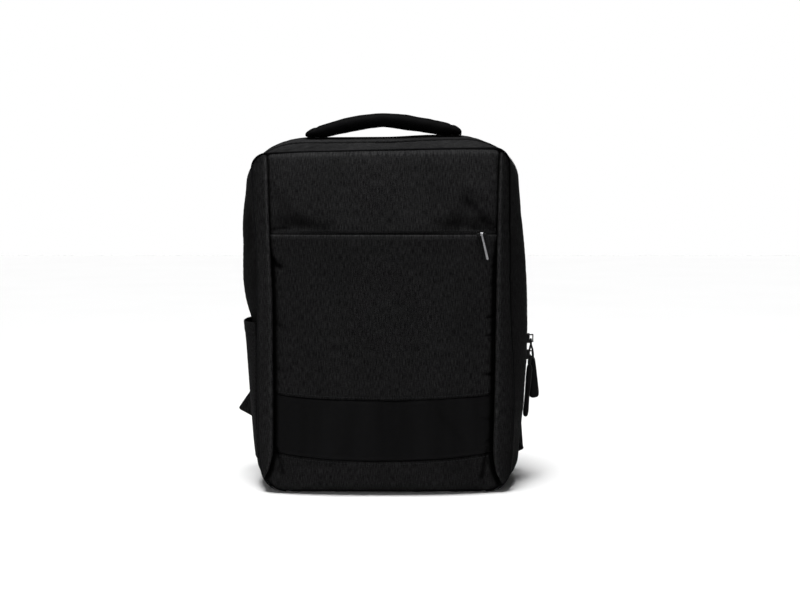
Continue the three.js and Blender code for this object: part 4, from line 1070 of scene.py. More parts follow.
# The piping's colour scale on its way round: base, left side, top left corner, top, top right
# corner, right side. It lifts the dark piping towards the cloth's own tone, with painted shade
# darkening both top corners and, less, the right side.
PIPING_TONE_AND_SHADE = (
    (0.3, 1.0, 1.9, 2.2, 2.9, 3.2, 4.0, 4.3, 5.2, 5.8, 6.7),
    (1.2, 1.3, 1.0, -0.85, -0.85, 0.7, 0.5, -0.8, -0.7, 0.2, 0.6),
)


def piping():
    along = np.linspace(0.34, RING_END - 0.34, 420)
    in_x, in_z = ring_inward(along, 0)
    x, z = ring_point(along, 0)
    corner = np.maximum(fade(along - 2.5, 0.5), fade(along - 4.5, 0.8))
    radius = PIPING_RADIUS * (0.68 + 0.62 * corner)
    x, z = x - in_x * radius * 0.5, z - in_z * radius * 0.5
    path = np.stack([x, seam_depth(z) + FACE_WALL * 0.6, z], 1)
    # The piping's own tone, with painted shade at the top corners and on the right side.
    tone_and_painted_light = np.interp(along, *PIPING_TONE_AND_SHADE)
    piece = tube("edge_piping_cord", path, radius, material("piping"), 12, taper=0.9, tone_and_painted_light=tone_and_painted_light)
    put(piece, "edge_piping", slot="smooth_cloth")


# The sides, top and zip


def ring_lengths():
    along = np.linspace(0, RING_END, 800)
    x, z = ring_point(along, 1)
    length = np.concatenate([[0], np.cumsum(np.hypot(np.diff(x), np.diff(z)))])
    return along, length


RING_ALONG, RING_LENGTH = ring_lengths()


def zip_open(height, along):
    end = np.where(along < RING_END / 2, ZIP_END_LEFT, ZIP_END_RIGHT)
    step = np.clip((height - end) / 4, 0, 1)
    return mix(SEAM_GAP / 2, ZIP_WIDTH / 2 - 0.2, step)


GUSSET_ROWS = 28


def gusset_shape(front, seed):
    def place(u, v):
        length = u * RING_LENGTH[-1]
        tucked = np.clip(1 - v * GUSSET_ROWS, 0, 1) if front else 0 * v
        v = np.clip((v * GUSSET_ROWS - 1) / (GUSSET_ROWS - 1), 0, 1) if front else v
        along = np.interp(length, RING_LENGTH, RING_ALONG)
        height = ring_point(along, 1)[1]
        opening = zip_open(height, along)
        if front:
            start, stop = 0, ring_at_depth(ZIP_DEPTH - opening, height)
        else:
            start, stop = ring_at_depth(ZIP_DEPTH + opening, height), 2
        ring = mix(start, stop, eased(v, 0.5))
        x, z = ring_point(along, ring)
        depth = ring_depth(ring, z)
        in_x, in_z = ring_inward(along, ring)
        first, last = ring_depth(np.minimum(start + 0 * ring, 2), z), ring_depth(stop + 0 * ring, z)
        to_first, to_last = depth - first, last - depth
        seam, zip_side = (to_first, to_last) if front else (to_last, to_first)
        s = sizes()
        inward = edge_roll(seam, 0.15, 0.6) + edge_roll(zip_side, 0.35, 0.7)
        slack = s.slack / MM * 1.2 * waves(length / 42, depth / 30, seed)
        inward = inward - slack * (1 - fade(seam, 8))
        inward = inward - s.pucker / MM * gathers(length, seam, seed + 3, 10, 9)
        inward = inward - 0.6 * s.pucker / MM * gathers(length, zip_side, seed + 6, 7, 6)
        inward = np.where(z < 3, 0, inward)
        # Painted light on the gusset: painted shade in sunk cloth, at its seam and on the sides; a
        # painted highlight on the top, stronger towards the back, in soft waves.
        upward = np.clip(-in_z, 0, 1) ** 2
        behind = np.clip((depth + FRONT_SEAM_DEPTH) / (FRONT_SEAM_DEPTH + REAR_SEAM_DEPTH), 0, 1)
        tone_and_painted_light = relief_painted_light(inward * 1.5, seam + 9) - 0.10 * fade(seam, 4)
        soft = waves(length / 13, depth / 8, seed + 20)
        tone_and_painted_light = tone_and_painted_light + mix(-0.60, 0.28 + 0.45 * behind + 0.2 * soft, upward)
        # A painted shadow on the left side just above the side pocket's mouth.
        pocket = (x < 0) * fade(z - SIDE_POCKET_TOP - 4, 9) * fade(depth + 20, 22)
        tone_and_painted_light = tone_and_painted_light - 0.6 * pocket
        inward = inward + TUCK * tucked
        return (x + in_x * inward, depth, np.maximum(z + in_z * inward, 0)), (depth, length), tone_and_painted_light
    return place


def gussets():
    count = grid_count(RING_LENGTH[-1])
    for name, front, seed in (("front_gusset", True, 41), ("rear_gusset", False, 47)):
        shape = gusset_shape(front, seed)
        piece = surface(name + "_cloth", count, GUSSET_ROWS, shape, material("heather"), CLOTH_SHEET)
        put(facing_out(piece, BAG_CENTRE), name, slot="heather_cloth")


def zip_line(inset):
    """Points along the middle of the main zip, and the way out of the bag there."""
    x, z = ring_point(RING_ALONG, 1)
    keep = z > np.where(RING_ALONG < RING_END / 2, ZIP_END_LEFT, ZIP_END_RIGHT)
    along = RING_ALONG[keep]
    x, z = ring_point(along, 1)
    in_x, in_z = ring_inward(along, 1)
    points = np.stack([x + in_x * inset, 0 * x + ZIP_DEPTH, z + in_z * inset], 1)
    return points, np.stack([-in_x, 0 * x, -in_z], 1), along


def main_zip():
    points, outs, along = zip_line(0.9)
    lengths = np.interp(along, RING_ALONG, RING_LENGTH)
    half = ZIP_WIDTH / 2 + 1.2

    def place(u, v):
        row = np.rint(u * (len(points) - 1)).astype(int)
        offset = mix(-half, half, v)
        spot = points[row] - outs[row] * (0.25 * np.abs(offset) / half)[:, None]
        return (spot[:, 0], spot[:, 1] + offset, spot[:, 2]), (lengths[row], offset)
    tape = surface("main_zip_tape", len(points) - 1, 6, place, material("tape"), 0.8)
    put(facing_out(tape, BAG_CENTRE), "main_zip", slot="zip_tape")

    bm = bmesh.new()
    line, _, _ = zip_line(0.55)
    spots, ways = spaced(line, COIL_PITCH)
    for index, (spot, way) in enumerate(zip(spots, ways)):
        out = unit(np.array([-way[2], 0, way[0]]))
        out = out if np.dot(out[[0, 2]], spot[[0, 2]] - np.array([0, 190])) > 0 else -out
        across = np.cross(out, way)
        shift = across * (0.35 if index % 2 else -0.35)
        matrix = frame_matrix(spot + shift, way, across, out, COIL_TURN)
        bmesh.ops.create_cube(bm, size=1, matrix=matrix)
    round_edges(bm, bm.edges, COIL_ROUNDING)
    put(mesh_object("main_zip_coil", bm, material("coil")), slot="zip_tape")


def pocket_zip():
    low, high = MOUTH_HEIGHT - POCKET_TAPE_HEIGHT / 2, MOUTH_HEIGHT + POCKET_TAPE_HEIGHT / 2

    def place(u, v):
        height = mix(low, high, v)
        x = mix(-seam_line(LEFT, height) + 3, seam_line(RIGHT, height) - 3, u)
        return (x, face_depth(x, height) + FACE_WALL + 0.9, height), (x, height)
    tape = surface("pocket_zip_tape", grid_count(240), 8, place, material("tape"), 0.8)
    put(facing_out(tape, BAG_CENTRE), "pocket_zip", slot="zip_tape")

    x = np.linspace(-118, 112, 300)
    height = MOUTH_HEIGHT + 0 * x
    line = np.stack([x, face_depth(x, height) + FACE_WALL - 0.2, height], 1)
    bm = bmesh.new()
    for spot, way in zip(*spaced(line, POCKET_COIL_PITCH)):
        out = unit(np.cross(way, (0, 0, 1)))
        matrix = frame_matrix(spot, way, (0, 0, 1), out, POCKET_COIL_TURN)
        bmesh.ops.create_cube(bm, size=1, matrix=matrix)
    round_edges(bm, bm.edges, POCKET_COIL_ROUNDING)
    put(mesh_object("pocket_zip_coil", bm, material("coil")), slot="zip_tape")


def base_cloth():
    def place(u, v):
        ring = mix(0, 2, v)
        start = ring_point(0 * ring, ring)[0]
        stop = ring_point(0 * ring + RING_END, ring)[0]
        x = mix(start + SEAM_GAP, stop - SEAM_GAP, u)
        depth = ring_depth(ring, 0 * ring)
        to_seam = np.minimum(depth + BASE_FRONT, BASE_REAR - depth)
        edge = np.minimum(np.minimum(x - start, stop - x), to_seam)
        return (x, depth, 0.25 * fade(edge - 6, 1.2) + 0.8 * fade(edge, 1.6)), (x, depth)
    piece = surface("base_panel_cloth", 120, 60, place, material("heather"), BASE_SHEET)
    put(facing_out(piece, BAG_CENTRE), "base_panel", slot="heather_cloth")


# The back and the side pocket


def back_depth(across, up):
    crown = (1 - np.abs(2 * across - 1) ** 4) * (1 - np.abs(2 * up - 1) ** 6)
    return REAR_SEAM_DEPTH + BACK_PAD_EDGE + (BACK_PAD - BACK_PAD_EDGE) * crown


def back_shape(outer):
    def place(u, v):
        along = v * 3
        start, stop = ring_point(along, 2), ring_point(RING_END - along, 2)
        across = eased(u, 0.5)
        x, z = mix(start[0], stop[0], across), mix(start[1], stop[1], across)
        corner = [ring_point(3, 2), ring_point(RING_END - 3, 2)]
        share = np.clip((x - corner[0][0]) / (corner[1][0] - corner[0][0]), 0, 1)
        top = mix(corner[0][1], corner[1][1], share)
        clipped = np.clip(x, corner[0][0], corner[1][0])
        line = np.interp(clipped, *TOP_OF_BACK)
        up = z / top
        z = z + (line - top) * up ** 6
        edge = np.minimum(np.minimum(x - start[0], stop[0] - x), np.minimum(z, line - z))
        if not outer:
            return (x, BACK_SEAM + 0 * x, z), (x, z)
        depth = back_depth(across, np.minimum(up, 1))
        depth = depth - 2.0 * fade(edge - 5.5, 1.3) - 1.2 * fade(edge, 2.0)
        depth = depth + 0.5 * waves(x / 40, z / 50, 61) * (1 - fade(edge, 12))
        return (x, depth, z), (x, z)
    return place


def top_of_back():
    along = np.linspace(3, RING_END - 3, 200)
    return ring_point(along, 2)


TOP_OF_BACK = top_of_back()


def back_pad():
    bm = bmesh.new()
    bm.loops.layers.uv.new("UVMap")
    for outer in (True, False):
        part = surface("back_part", 110, 140, back_shape(outer), None)
        bm.from_mesh(part.data)
        bpy.data.objects.remove(part)
    rims = [e for e in bm.edges if e.is_boundary]
    bmesh.ops.bridge_loops(bm, edges=rims)
    face_out(bm)
    piece = mesh_object("back_panel_pad", bm, material("mesh"))
    put(piece, "back_panel", slot="back_mesh")


def side_pocket_point(depth, height, stand):
    middle = (SIDE_POCKET_FRONT + SIDE_POCKET_REAR) / 2
    across = np.maximum(1 - np.abs((depth - middle) / (SIDE_POCKET_REAR - middle)) ** 3, 0)
    up = np.clip((height - SIDE_POCKET_BASE) / (SIDE_POCKET_TOP - SIDE_POCKET_BASE), 0, 1)
    reach = reach_at(LEFT, height, ring_at_depth(depth, height))
    return -(reach + 2 * SEAM_GAP + SIDE_POCKET_EASE * across * up + SIDE_POCKET_WALL + stand)


def side_pocket():
    def place(u, v):
        height = mix(SIDE_POCKET_BASE, SIDE_POCKET_TOP, v)
        depth = mix(SIDE_POCKET_FRONT, SIDE_POCKET_REAR, u)
        edge = np.minimum(depth - SIDE_POCKET_FRONT, SIDE_POCKET_REAR - depth)
        to_top = SIDE_POCKET_TOP - height
        hem = 0.5 / (1 + np.exp((to_top - 13) / 0.5))
        stand = hem - 0.9 * fade(edge, 2.0) - 0.5 * fade(to_top, 0.8)
        stand = stand - 0.35 * fade(to_top - 13.6, 0.9)
        stand = stand + 0.35 * gathers(depth, to_top, 71, 8, 14)
        stand = stand + 0.3 * waves(depth / 22, height / 30, 73)
        return (side_pocket_point(depth, height, stand), depth, height), (depth, height)
    piece = surface("side_pocket_cloth", 60, 110, place, material("stretch"), SIDE_POCKET_WALL * 0.8)
    put(facing_out(piece, BAG_CENTRE), "side_pocket", slot="stretch_cloth")


# Padded pieces


def merged_copy(node_name, name):
    """A new mesh from a CAD node, with its loose triangles joined."""
    bm = bmesh.new()
    bm.from_mesh(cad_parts[node_name].data)
    bmesh.ops.remove_doubles(bm, verts=bm.verts, dist=0.01 * MM)
    for layer in list(bm.loops.layers.uv.values()):
        bm.loops.layers.uv.remove(layer)
    face_out(bm)
    return mesh_object(name, bm)


def swell(piece, voxel, cap, pin=None, shrink=0.0, even_steps=10):
    """Fills a padded piece: remesh, blow up gently as cloth, cap the movement, subdivide."""
    remesh = piece.modifiers.new("Remesh", "REMESH")
    remesh.mode = "VOXEL"
    remesh.voxel_size = voxel * MM
    even = piece.modifiers.new("Even", "SMOOTH")
    even.factor, even.iterations = 0.5, even_steps
    apply_modifiers(piece)
    start = points_of(piece.data)
    normals = np.array([v.normal for v in piece.data.vertices])
    set_points(piece.data, start - normals * shrink * MM)
    if pin is not None:
        group = piece.vertex_groups.new(name="sewn")
        held = [i for i, co in enumerate(start / MM) if pin(co)]
        group.add(held, 1.0, "REPLACE")
    cloth = piece.modifiers.new("Cloth", "CLOTH")
    cloth.settings.use_pressure = True
    cloth.settings.uniform_pressure_force = sizes().swell_pressure
    cloth.settings.effector_weights.gravity = 0
    cloth.settings.quality = 4
    if pin is not None:
        cloth.settings.vertex_group_mass = "sewn"
    scene = bpy.context.scene
    for step in range(1, sizes().swell_frames + 1):
        scene.frame_set(step)
    apply_modifiers(piece)
    scene.frame_set(1)
    move = points_of(piece.data) - start
    far = np.linalg.norm(move, axis=1, keepdims=True)
    set_points(piece.data, start + move * np.minimum(1, cap * MM / np.maximum(far, 1e-9)))
    piece.vertex_groups.clear()
    smooth = piece.modifiers.new("Smooth", "SMOOTH")
    smooth.factor, smooth.iterations = 0.5, 4
    subdivision = piece.modifiers.new("Round", "SUBSURF")
    subdivision.levels = subdivision.render_levels = 1
    apply_modifiers(piece)
    piece.data.shade_smooth()
    return piece


def apply_modifiers(piece):
    """Makes the modified mesh the piece's own."""
    bpy.context.view_layer.update()
    graph = bpy.context.evaluated_depsgraph_get()
    mesh = bpy.data.meshes.new_from_object(piece.evaluated_get(graph))
    old = piece.data
    piece.modifiers.clear()
    piece.data = mesh
    bpy.data.meshes.remove(old)


def move_points(piece, change):
    """Moves each point of a piece by a function of its place, in millimetres."""
    points = points_of(piece.data) / MM
    normals = np.array([v.normal for v in piece.data.vertices])
    set_points(piece.data, change(points, normals) * MM)
    piece.data.update()


def handle():
    low, high = (np.array(c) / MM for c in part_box("top_handle"))
    piece = merged_copy("top_handle", "top_handle_pad")
    ends = lambda co: co[0] < low[0] + 9 or co[0] > high[0] - 9
    swell(piece, 4, 3.0, ends, 0.2, 3)
    piece.data.materials.append(material("handle"))
    middle = (low[0] + high[0]) / 2
    half = (high[0] - low[0]) / 2

    def crease(points, normals):
        away = half - np.abs(points[:, 0] - middle)
        deep = 0.8 * fade(away - 15, 1.6) + 0.3 * waves(points[:, 0] / 7, points[:, 1] / 12, 81)
        return points - normals * deep[:, None]
    move_points(piece, crease)
    put(piece, "top_handle", slot="smooth_cloth")


def strap_point(side, at):
    """The middle of a shoulder strap at a share of its length."""
    nearest = BACK_PAD + REAR_SEAM_DEPTH + SEAM_GAP + STRAP_THICK / 2
    return np.stack([
        side * STRAP_SPREAD * read(STRAP_LINE, "out", at),
        nearest + STRAP_REACH * read(STRAP_LINE, "behind", at),
        STRAP_TOP * read(STRAP_LINE, "up", at)], -1)


def strap_frame(side, at):
    step = 0.01
    ahead, behind = np.minimum(1, at + step), np.maximum(0, at - step)
    way = unit(strap_point(side, ahead) - strap_point(side, behind))
    across = unit(np.array([1.0, 0, 0]) - way * way[..., :1])
    return way, across, np.cross(across, way)


def straps():
    for name, side in (("left", LEFT), ("right", RIGHT)):
        piece = merged_copy("shoulder_strap_" + name, f"shoulder_strap_{name}_pad")
        top = STRAP_TOP - 12
        swell(piece, 4, 2.0, lambda co: co[2] > top, 0.5)
        piece.data.materials.append(material("heather_pad"))
        at = np.linspace(0, 1, 300)
        line = strap_point(side, at)
        _, across, _ = strap_frame(side, at)
        wide = STRAP_WIDTH / 2 * read(STRAP_LINE, "wide", at)

        def seams(points, normals):
            row = np.abs(points[:, None, 2] - line[None, :, 2]).argmin(1)
            offset = np.abs(((points - line[row]) * across[row]).sum(1))
            border = wide[row] - offset
            deep = 1.3 * fade(border - 7, 1.5)
            return points - normals * deep[:, None]
        move_points(piece, seams)
        put(piece, "shoulder_strap_" + name, slot="heather_cloth")


# Webbing, ladder locks and tabs


def lock_frame(side):
    way, across, out = (v[0] for v in strap_frame(side, np.array([1.0])))
    return strap_point(side, np.array([1.0]))[0] + way * SEAM_GAP, way, across, out


def lock_places(side, path):
    origin, way, across, out = lock_frame(side)
    path = np.array(path, float)
    ahead = np.vstack([path[1:], path[-1:]]) - np.vstack([path[:1], path[:-1]])
    turn = ahead / np.linalg.norm(ahead, axis=1, keepdims=True)
    centres = origin + path[:, :1] * way + path[:, 1:] * out
    outs = turn[:, :1] * out - turn[:, 1:] * way
    return centres, np.tile(across, (len(path), 1)), outs


def smooth_rows(rows, count):
    """Resamples rows of points along a smooth curve through them."""
    rows = np.asarray(rows, float)
    length = run_lengths(rows[:, :3])
    at = np.linspace(0, length[-1], count)
    table_rows = {"at": length, **{i: rows[:, i] for i in range(rows.shape[1])}}
    return np.stack([read(table_rows, i, at) for i in range(rows.shape[1])], 1), at


def webbing(name, centres, acrosses, outs, node_name):
    rows, at = smooth_rows(np.hstack([centres, acrosses, outs]), max(int(len(centres) * 7), 60))
    centre, across, out = rows[:, :3], unit(rows[:, 3:6]), unit(rows[:, 6:])
    half, thick = WEBBING_WIDTH / 2, WEBBING_THICK / 2

    def place(u, v):
        row = np.rint(v * (len(centre) - 1)).astype(int)
        turn = u * 2 * math.pi
        side = np.sign(np.cos(turn)) * np.abs(np.cos(turn)) ** 0.35
        high = np.sign(np.sin(turn)) * np.abs(np.sin(turn)) ** 0.6
        points = centre[row] + across[row] * (half * side)[:, None]
        points = points + out[row] * (thick * high)[:, None]
        return tuple(points.T), (half * side, at[row])
    piece = surface(name, WEBBING_SIDES, len(centre) - 1, place, material("webbing"), closed=True)
    put(piece, node_name, slot="webbing")


# A ladder lock's bars and slots, and how far the webbing's middle clears them.
LOCK_PITCH = (LOCK_HEIGHT - LOCK_BAR) / 3
LOCK_SLOT = LOCK_PITCH - LOCK_BAR
LOCK_CLEAR = LOCK_THICK / 2 + SEAM_GAP + WEBBING_THICK / 2


def strap_loops():
    clear, middle = LOCK_CLEAR, LOCK_BAR + LOCK_SLOT / 2
    seat = STRAP_THICK / 2 + SEAM_GAP + WEBBING_THICK / 2
    path = [
        (-14, seat), (-7, seat), (0.5, clear + 0.2), (middle - 1.6, clear),
        (middle - 0.4, clear - 0.7), (middle, clear - 1.6),
        (middle, -clear + 1.6), (middle - 0.4, -clear + 0.7),
        (middle - 1.6, -clear), (0.5, -clear - 0.2), (-7, -seat), (-14, -seat),
    ]
    for name, side in (("left", LEFT), ("right", RIGHT)):
        webbing(f"strap_loop_{name}_webbing", *lock_places(side, path), "strap_loop_" + name)


def strap_webbings():
    clear, up = LOCK_CLEAR, LOCK_PITCH + LOCK_BAR + LOCK_SLOT / 2
    path = [
        (LOCK_HEIGHT + 30, clear + 2.5), (LOCK_HEIGHT + 12, clear + 1), (LOCK_HEIGHT, clear),
        (up + 1.6, clear), (up + 0.4, clear - 0.7), (up, clear - 1.6),
        (up, -clear + 1.6), (up + 0.4, -clear + 0.7), (up + 1.6, -clear),
        (LOCK_HEIGHT, -clear), (LOCK_HEIGHT + 8, -clear),
    ]
    for name, tab in STRAP_TABS.items():
        side = tab["side"]
        centres, acrosses, outs = lock_places(side, path)
        height = REAR_HEIGHT * (tab["low"] + tab["high"]) / 2
        seat = np.array([
            side * (float(reach_at(side, height, 2.0)) + 3),
            BACK_SEAM + TAB_THICK + SEAM_GAP + WEBBING_THICK / 2, height])
        origin, way, _, _ = lock_frame(side)
        run = seat - (origin + way * LOCK_HEIGHT)
        run = unit(run * (1, 0, 1))
        seat_across = np.array([-run[2], 0, run[0]])
        last = centres[-1]
        knots = [last, mix(last, seat, 0.5), mix(last, seat, 0.85), seat]
        knots[1] = np.array([knots[1][0], mix(last[1], seat[1], 0.55), knots[1][2]])
        knots[2] = np.array([knots[2][0], seat[1] + 2.6, knots[2][2]])
        for share in np.arange(1, 7) / 6:
            spot = centripetal(knots, share)
            centres = np.vstack([centres, spot])
            acrosses = np.vstack([acrosses, unit(mix(acrosses[10], seat_across, share))])
            outs = np.vstack([outs, unit(mix(outs[10], np.array([0, -1.0, 0]), share))])
        webbing(f"strap_webbing_{name}_webbing", centres, acrosses, outs, "strap_webbing_" + name)


def centripetal(knots, share):
    """A point on the smooth curve through four knots, as the solids' curve runs."""
    knots = [np.asarray(k, float) for k in knots]
    place = share * 3
    index = min(int(place), 2)
    weight = place - index
    p1, p2 = knots[index], knots[index + 1]
    p0 = knots[index - 1] if index else 2 * knots[0] - knots[1]
    p3 = knots[index + 2] if index < 2 else 2 * knots[3] - knots[2]
    d0, d1, d2 = (max(np.sum((b - a) ** 2) ** 0.25, 1e-4) for a, b in ((p0, p1), (p1, p2), (p2, p3)))
    t1 = ((p1 - p0) / d0 - (p2 - p0) / (d0 + d1) + (p2 - p1) / d1) * d1
    t2 = ((p2 - p1) / d1 - (p3 - p1) / (d1 + d2) + (p3 - p2) / d2) * d1
    a, b = -3 * p1 + 3 * p2 - 2 * t1 - t2, 2 * p1 - 2 * p2 + t1 + t2
    return p1 + t1 * weight + a * weight ** 2 + b * weight ** 3


def rounded_copy(node_name, name, bevel, segments=2, material_key="buckle"):
    """A CAD node with its edges rounded, as a moulded or cast piece has them."""
    piece = merged_copy(node_name, name)
    bm = bmesh.new()
    bm.from_mesh(piece.data)
    bmesh.ops.dissolve_limit(bm, angle_limit=math.radians(4), verts=bm.verts, edges=bm.edges)
    sharp = [e for e in bm.edges if len(e.link_faces) == 2 and e.calc_face_angle() > math.radians(28)]
    round_edges(bm, sharp, bevel, segments, clamp=True)
    bmesh.ops.triangulate(bm, faces=[f for f in bm.faces if len(f.verts) > 4])
    bm.to_mesh(piece.data)
    bm.free()
    piece.data.shade_smooth()
    piece.data.materials.append(material(material_key))
    normals = piece.modifiers.new("Even shading", "WEIGHTED_NORMAL")
    normals.keep_sharp = True
    return piece


def ladder_locks():
    for name in ("left", "right"):
        piece = rounded_copy("ladder_lock_" + name, f"ladder_lock_{name}_moulded", 0.6)
        put(piece, "ladder_lock_" + name, slot="buckle_plastic")


def tab_outline(tab):
    side = tab["side"]
    heights = np.linspace(tab["low"] * REAR_HEIGHT, tab["high"] * REAR_HEIGHT, TAB_POINTS)
    edge = [(side * (float(reach_at(side, h, 2.0)) + 2 * SEAM_GAP - 0.4), h) for h in heights]
    shoulder = (side * tab["shoulder"][0] * REAR_HALF_WIDTH, tab["shoulder"][1] * REAR_HEIGHT)
    tip = np.array([side * tab["tip"][0] * REAR_HALF_WIDTH, tab["tip"][1] * REAR_HEIGHT])
    ends = [(tip[0] - side, tip[1] + 2), (tip[0], tip[1]), (tip[0] - side, tip[1] - 2)]
    return edge + [shoulder, *ends]


def strap_tabs():
    for name, tab in STRAP_TABS.items():
        bm = bmesh.new()
        outline = tab_outline(tab)
        bmesh.ops.create_circle(bm, cap_ends=True, segments=len(outline), radius=1)
        for vert, (x, z) in zip(bm.verts, outline):
            vert.co = Vector((x, BACK_SEAM, z)) * MM
        grown = bmesh.ops.extrude_face_region(bm, geom=bm.faces[:])
        moved = [g for g in grown["geom"] if isinstance(g, bmesh.types.BMVert)]
        bmesh.ops.translate(bm, verts=moved, vec=(0, TAB_THICK * MM, 0))
        face_out(bm)
        round_edges(bm, bm.edges, TAB_ROUNDING, 2)
        bmesh.ops.triangulate(bm, faces=bm.faces)
        piece = mesh_object(f"strap_tab_{name}_cloth", bm, material("heather_pad"), smooth=False)
        put(piece, "strap_tab_" + name, slot="heather_cloth")


# Sliders and pulls


def pull_hardware():
    slider = rounded_copy("pocket_slider", "pocket_slider_body", 0.22, 1, "slider")
    put(slider, "pocket_slider", slot="slider_metal")
    stick = rounded_copy("pocket_pull", "pocket_pull_stick", 0.3, 2, "pull")
    put(stick, "pocket_pull", slot="pull_metal", body="pull")
    for name in ZIP_PULLS:
        piece = rounded_copy("zip_slider_" + name, f"zip_slider_{name}_body", 0.25, 1, "slider")
        put(piece, "zip_slider_" + name, slot="slider_metal")


def pull_places(pull):
    """Where a pull's cord turns in its slider, the top of its tab, and the tab's three ways."""
    height = pull["up"] * ZIP_HEIGHT
    seat = np.array([float(reach_at(RIGHT, height, 1.0)) + SEAM_GAP, ZIP_DEPTH, height])
    turn = seat.copy()
    turn[0] += SLIDER_THICK + CORD_GAP + CORD_RADIUS
    turn[2] += BRIDGE_RADIUS + 2 * CORD_GAP + CORD_RADIUS - SLIDER_LENGTH * 0.36 - CORD_LOOP_WIDTH / 2
    top = turn + np.array([
        pull["top"][0] * PULL_WIDTH, pull["top"][1] * PULL_WIDTH, -pull["cord"] * CORD_LOOP_LENGTH])
    length = pull["long"] * PULL_LENGTH
    foot = top + np.array([pull["foot"][0] * PULL_WIDTH, pull["foot"][1] * PULL_WIDTH, -length])
    up = unit(top - foot)
    wide = np.array([0, 1.0, 0]) if pull["edge_on"] else np.array([1.0, 0, 0])
    wide = unit(wide - up * np.dot(wide, up))
    return turn, top, up, wide, length


def pull_cords():
    across = np.array([0, 1.0, 0])
    bend = CORD_LOOP_WIDTH / 2
    for name, pull in ZIP_PULLS.items():
        turn, top, up, wide, _ = pull_places(pull)
        foot = top + up * SEAM_GAP
        start = foot + up * 2 * CORD_RADIUS
        strand = []
        for share in (0, 0.25, 0.5, 0.75):
            way = unit(mix(wide, across, share ** 0.7)) * mix(0.7, 1, share) * bend
            strand.append((mix(start, turn, share), way))
        strand.insert(0, (foot - up * 1.5, strand[0][1]))
        path = [centre - way for centre, way in strand]
        for angle in np.linspace(0, math.pi, 7):
            path.append(turn + np.array([0, -bend * math.cos(angle), bend * math.sin(angle)]))
        path += [centre + way for centre, way in reversed(strand)]
        rows, _ = smooth_rows(path, 90)
        piece = tube(f"pull_cord_{name}_braid", rows, CORD_RADIUS, material("cord"), 12, (1, 0, 0))
        put(piece, "pull_cord_" + name, slot="cord")


def pull_tabs():
    for name, pull in ZIP_PULLS.items():
        _, top, up, wide, length = pull_places(pull)
        thick_way = np.cross(wide, up)

        def place(u, v):
            turn = u * 2 * math.pi
            down = length * (1 - np.cos(v * math.pi)) / 2
            share = down / length
            taper = mix(0.66, 1.0, np.clip(share * 1.25, 0, 1) ** 0.8)
            ends = np.clip(1 - ((share - 0.5) / 0.5) ** 14, 0, 1) ** 0.5
            cosine, sine = np.cos(turn), np.sin(turn)
            waist = 1 - 0.16 * fade(share - 0.62, 0.22)
            across = PULL_WIDTH / 2 * taper * ends * np.sign(cosine) * np.abs(cosine) ** 0.75
            high = PULL_THICK / 2 * ends * waist * np.sign(sine) * np.abs(sine) ** 0.75
            points = top - up * down[:, None] + wide * across[:, None] + thick_way * high[:, None]
            return tuple(points.T), (across, down)
        piece = surface(f"pull_tab_{name}_moulded", 32, 60, place, material("rubber"), closed=True)
        put(piece, "pull_tab_" + name, slot="pull_rubber")


# Stitching


# How far the rows of stitches lie from the band and from the pocket's mouth, how far the thread
# stands out, and how far the side pocket's two rows lie below its top.
FROM_BAND, FROM_MOUTH, THREAD_STAND, HEM_ROWS = 3.2, 4.2, 0.05, (11.0, 13.4)


def stitch_line(x, height, depth):
    """A line of stitches across the face."""
    return np.stack([x, depth(x, height) - THREAD_STAND, height], 1)


def stitching():
    bm = bmesh.new()
    forward = (0, -1, 0)
    x = np.linspace(-116, 114, 160)
    above_mouth = MOUTH_HEIGHT + FROM_MOUTH + 0 * x
    for height in (band_top(x) + FROM_BAND, band_base(x) - FROM_BAND, above_mouth):
        sew(bm, stitch_line(x, height, face_depth), forward)
    sew(bm, stitch_line(x, MOUTH_HEIGHT - FROM_MOUTH + 0 * x, pocket_depth), forward)
    depth = np.linspace(SIDE_POCKET_FRONT + 1, SIDE_POCKET_REAR - 1, 60)
    for drop in HEM_ROWS:
        height = SIDE_POCKET_TOP - drop + 0 * depth
        line = np.stack([side_pocket_point(depth, height, 0.35 + 0 * depth), depth, height], 1)
        sew(bm, line, (-1, 0, 0), 2.9)
    for tab in STRAP_TABS.values():
        outline = np.array(tab_outline(tab))
        centre = outline.mean(0)
        inner = centre + (outline[TAB_POINTS - 1:] - centre) * 0.78
        for share in (1.0, 0.82):
            line = centre + (inner - centre) * share
            for back, behind in ((-1, BACK_SEAM), (1, BACK_SEAM + TAB_THICK)):
                path = np.stack([line[:, 0], 0 * line[:, 0] + behind, line[:, 1]], 1)
                sew(bm, path, (0, back, 0), 3.0)
    put(mesh_object("stitching_thread", bm, material("thread")), slot="cord")


# Stage


# Each sun's direction from the bag, its spread in degrees and its strength.
SUNS = (
    ("sky panel", (-0.07, -0.18, 1), 22, 3.3),
    ("front panel", (-0.30, -1.0, 0.45), 24, 0.35),
)
TOP_PANEL_SIZE, TOP_PANEL_POWER, TOP_PANEL_PLACE = 0.8, 4.0, (0, -0.12, 1.15)
CAMERA_PLACE, CAMERA_PITCH, CAMERA_LENS, CAMERA_SENSOR = (0.017, -1.3, 0.31662), 4.708, 51.9, 36
ROOM_LIGHT, FLOOR_HALF, FLOOR_DROP = 0.06, 6, 0.6


def placed(name, data, location, turn=(0, 0, 0)):
    """A light or camera in its place."""
    holder = bpy.data.objects.new(name, data)
    holder.location, holder.rotation_euler = location, turn
    bpy.context.scene.collection.objects.link(holder)
    return holder


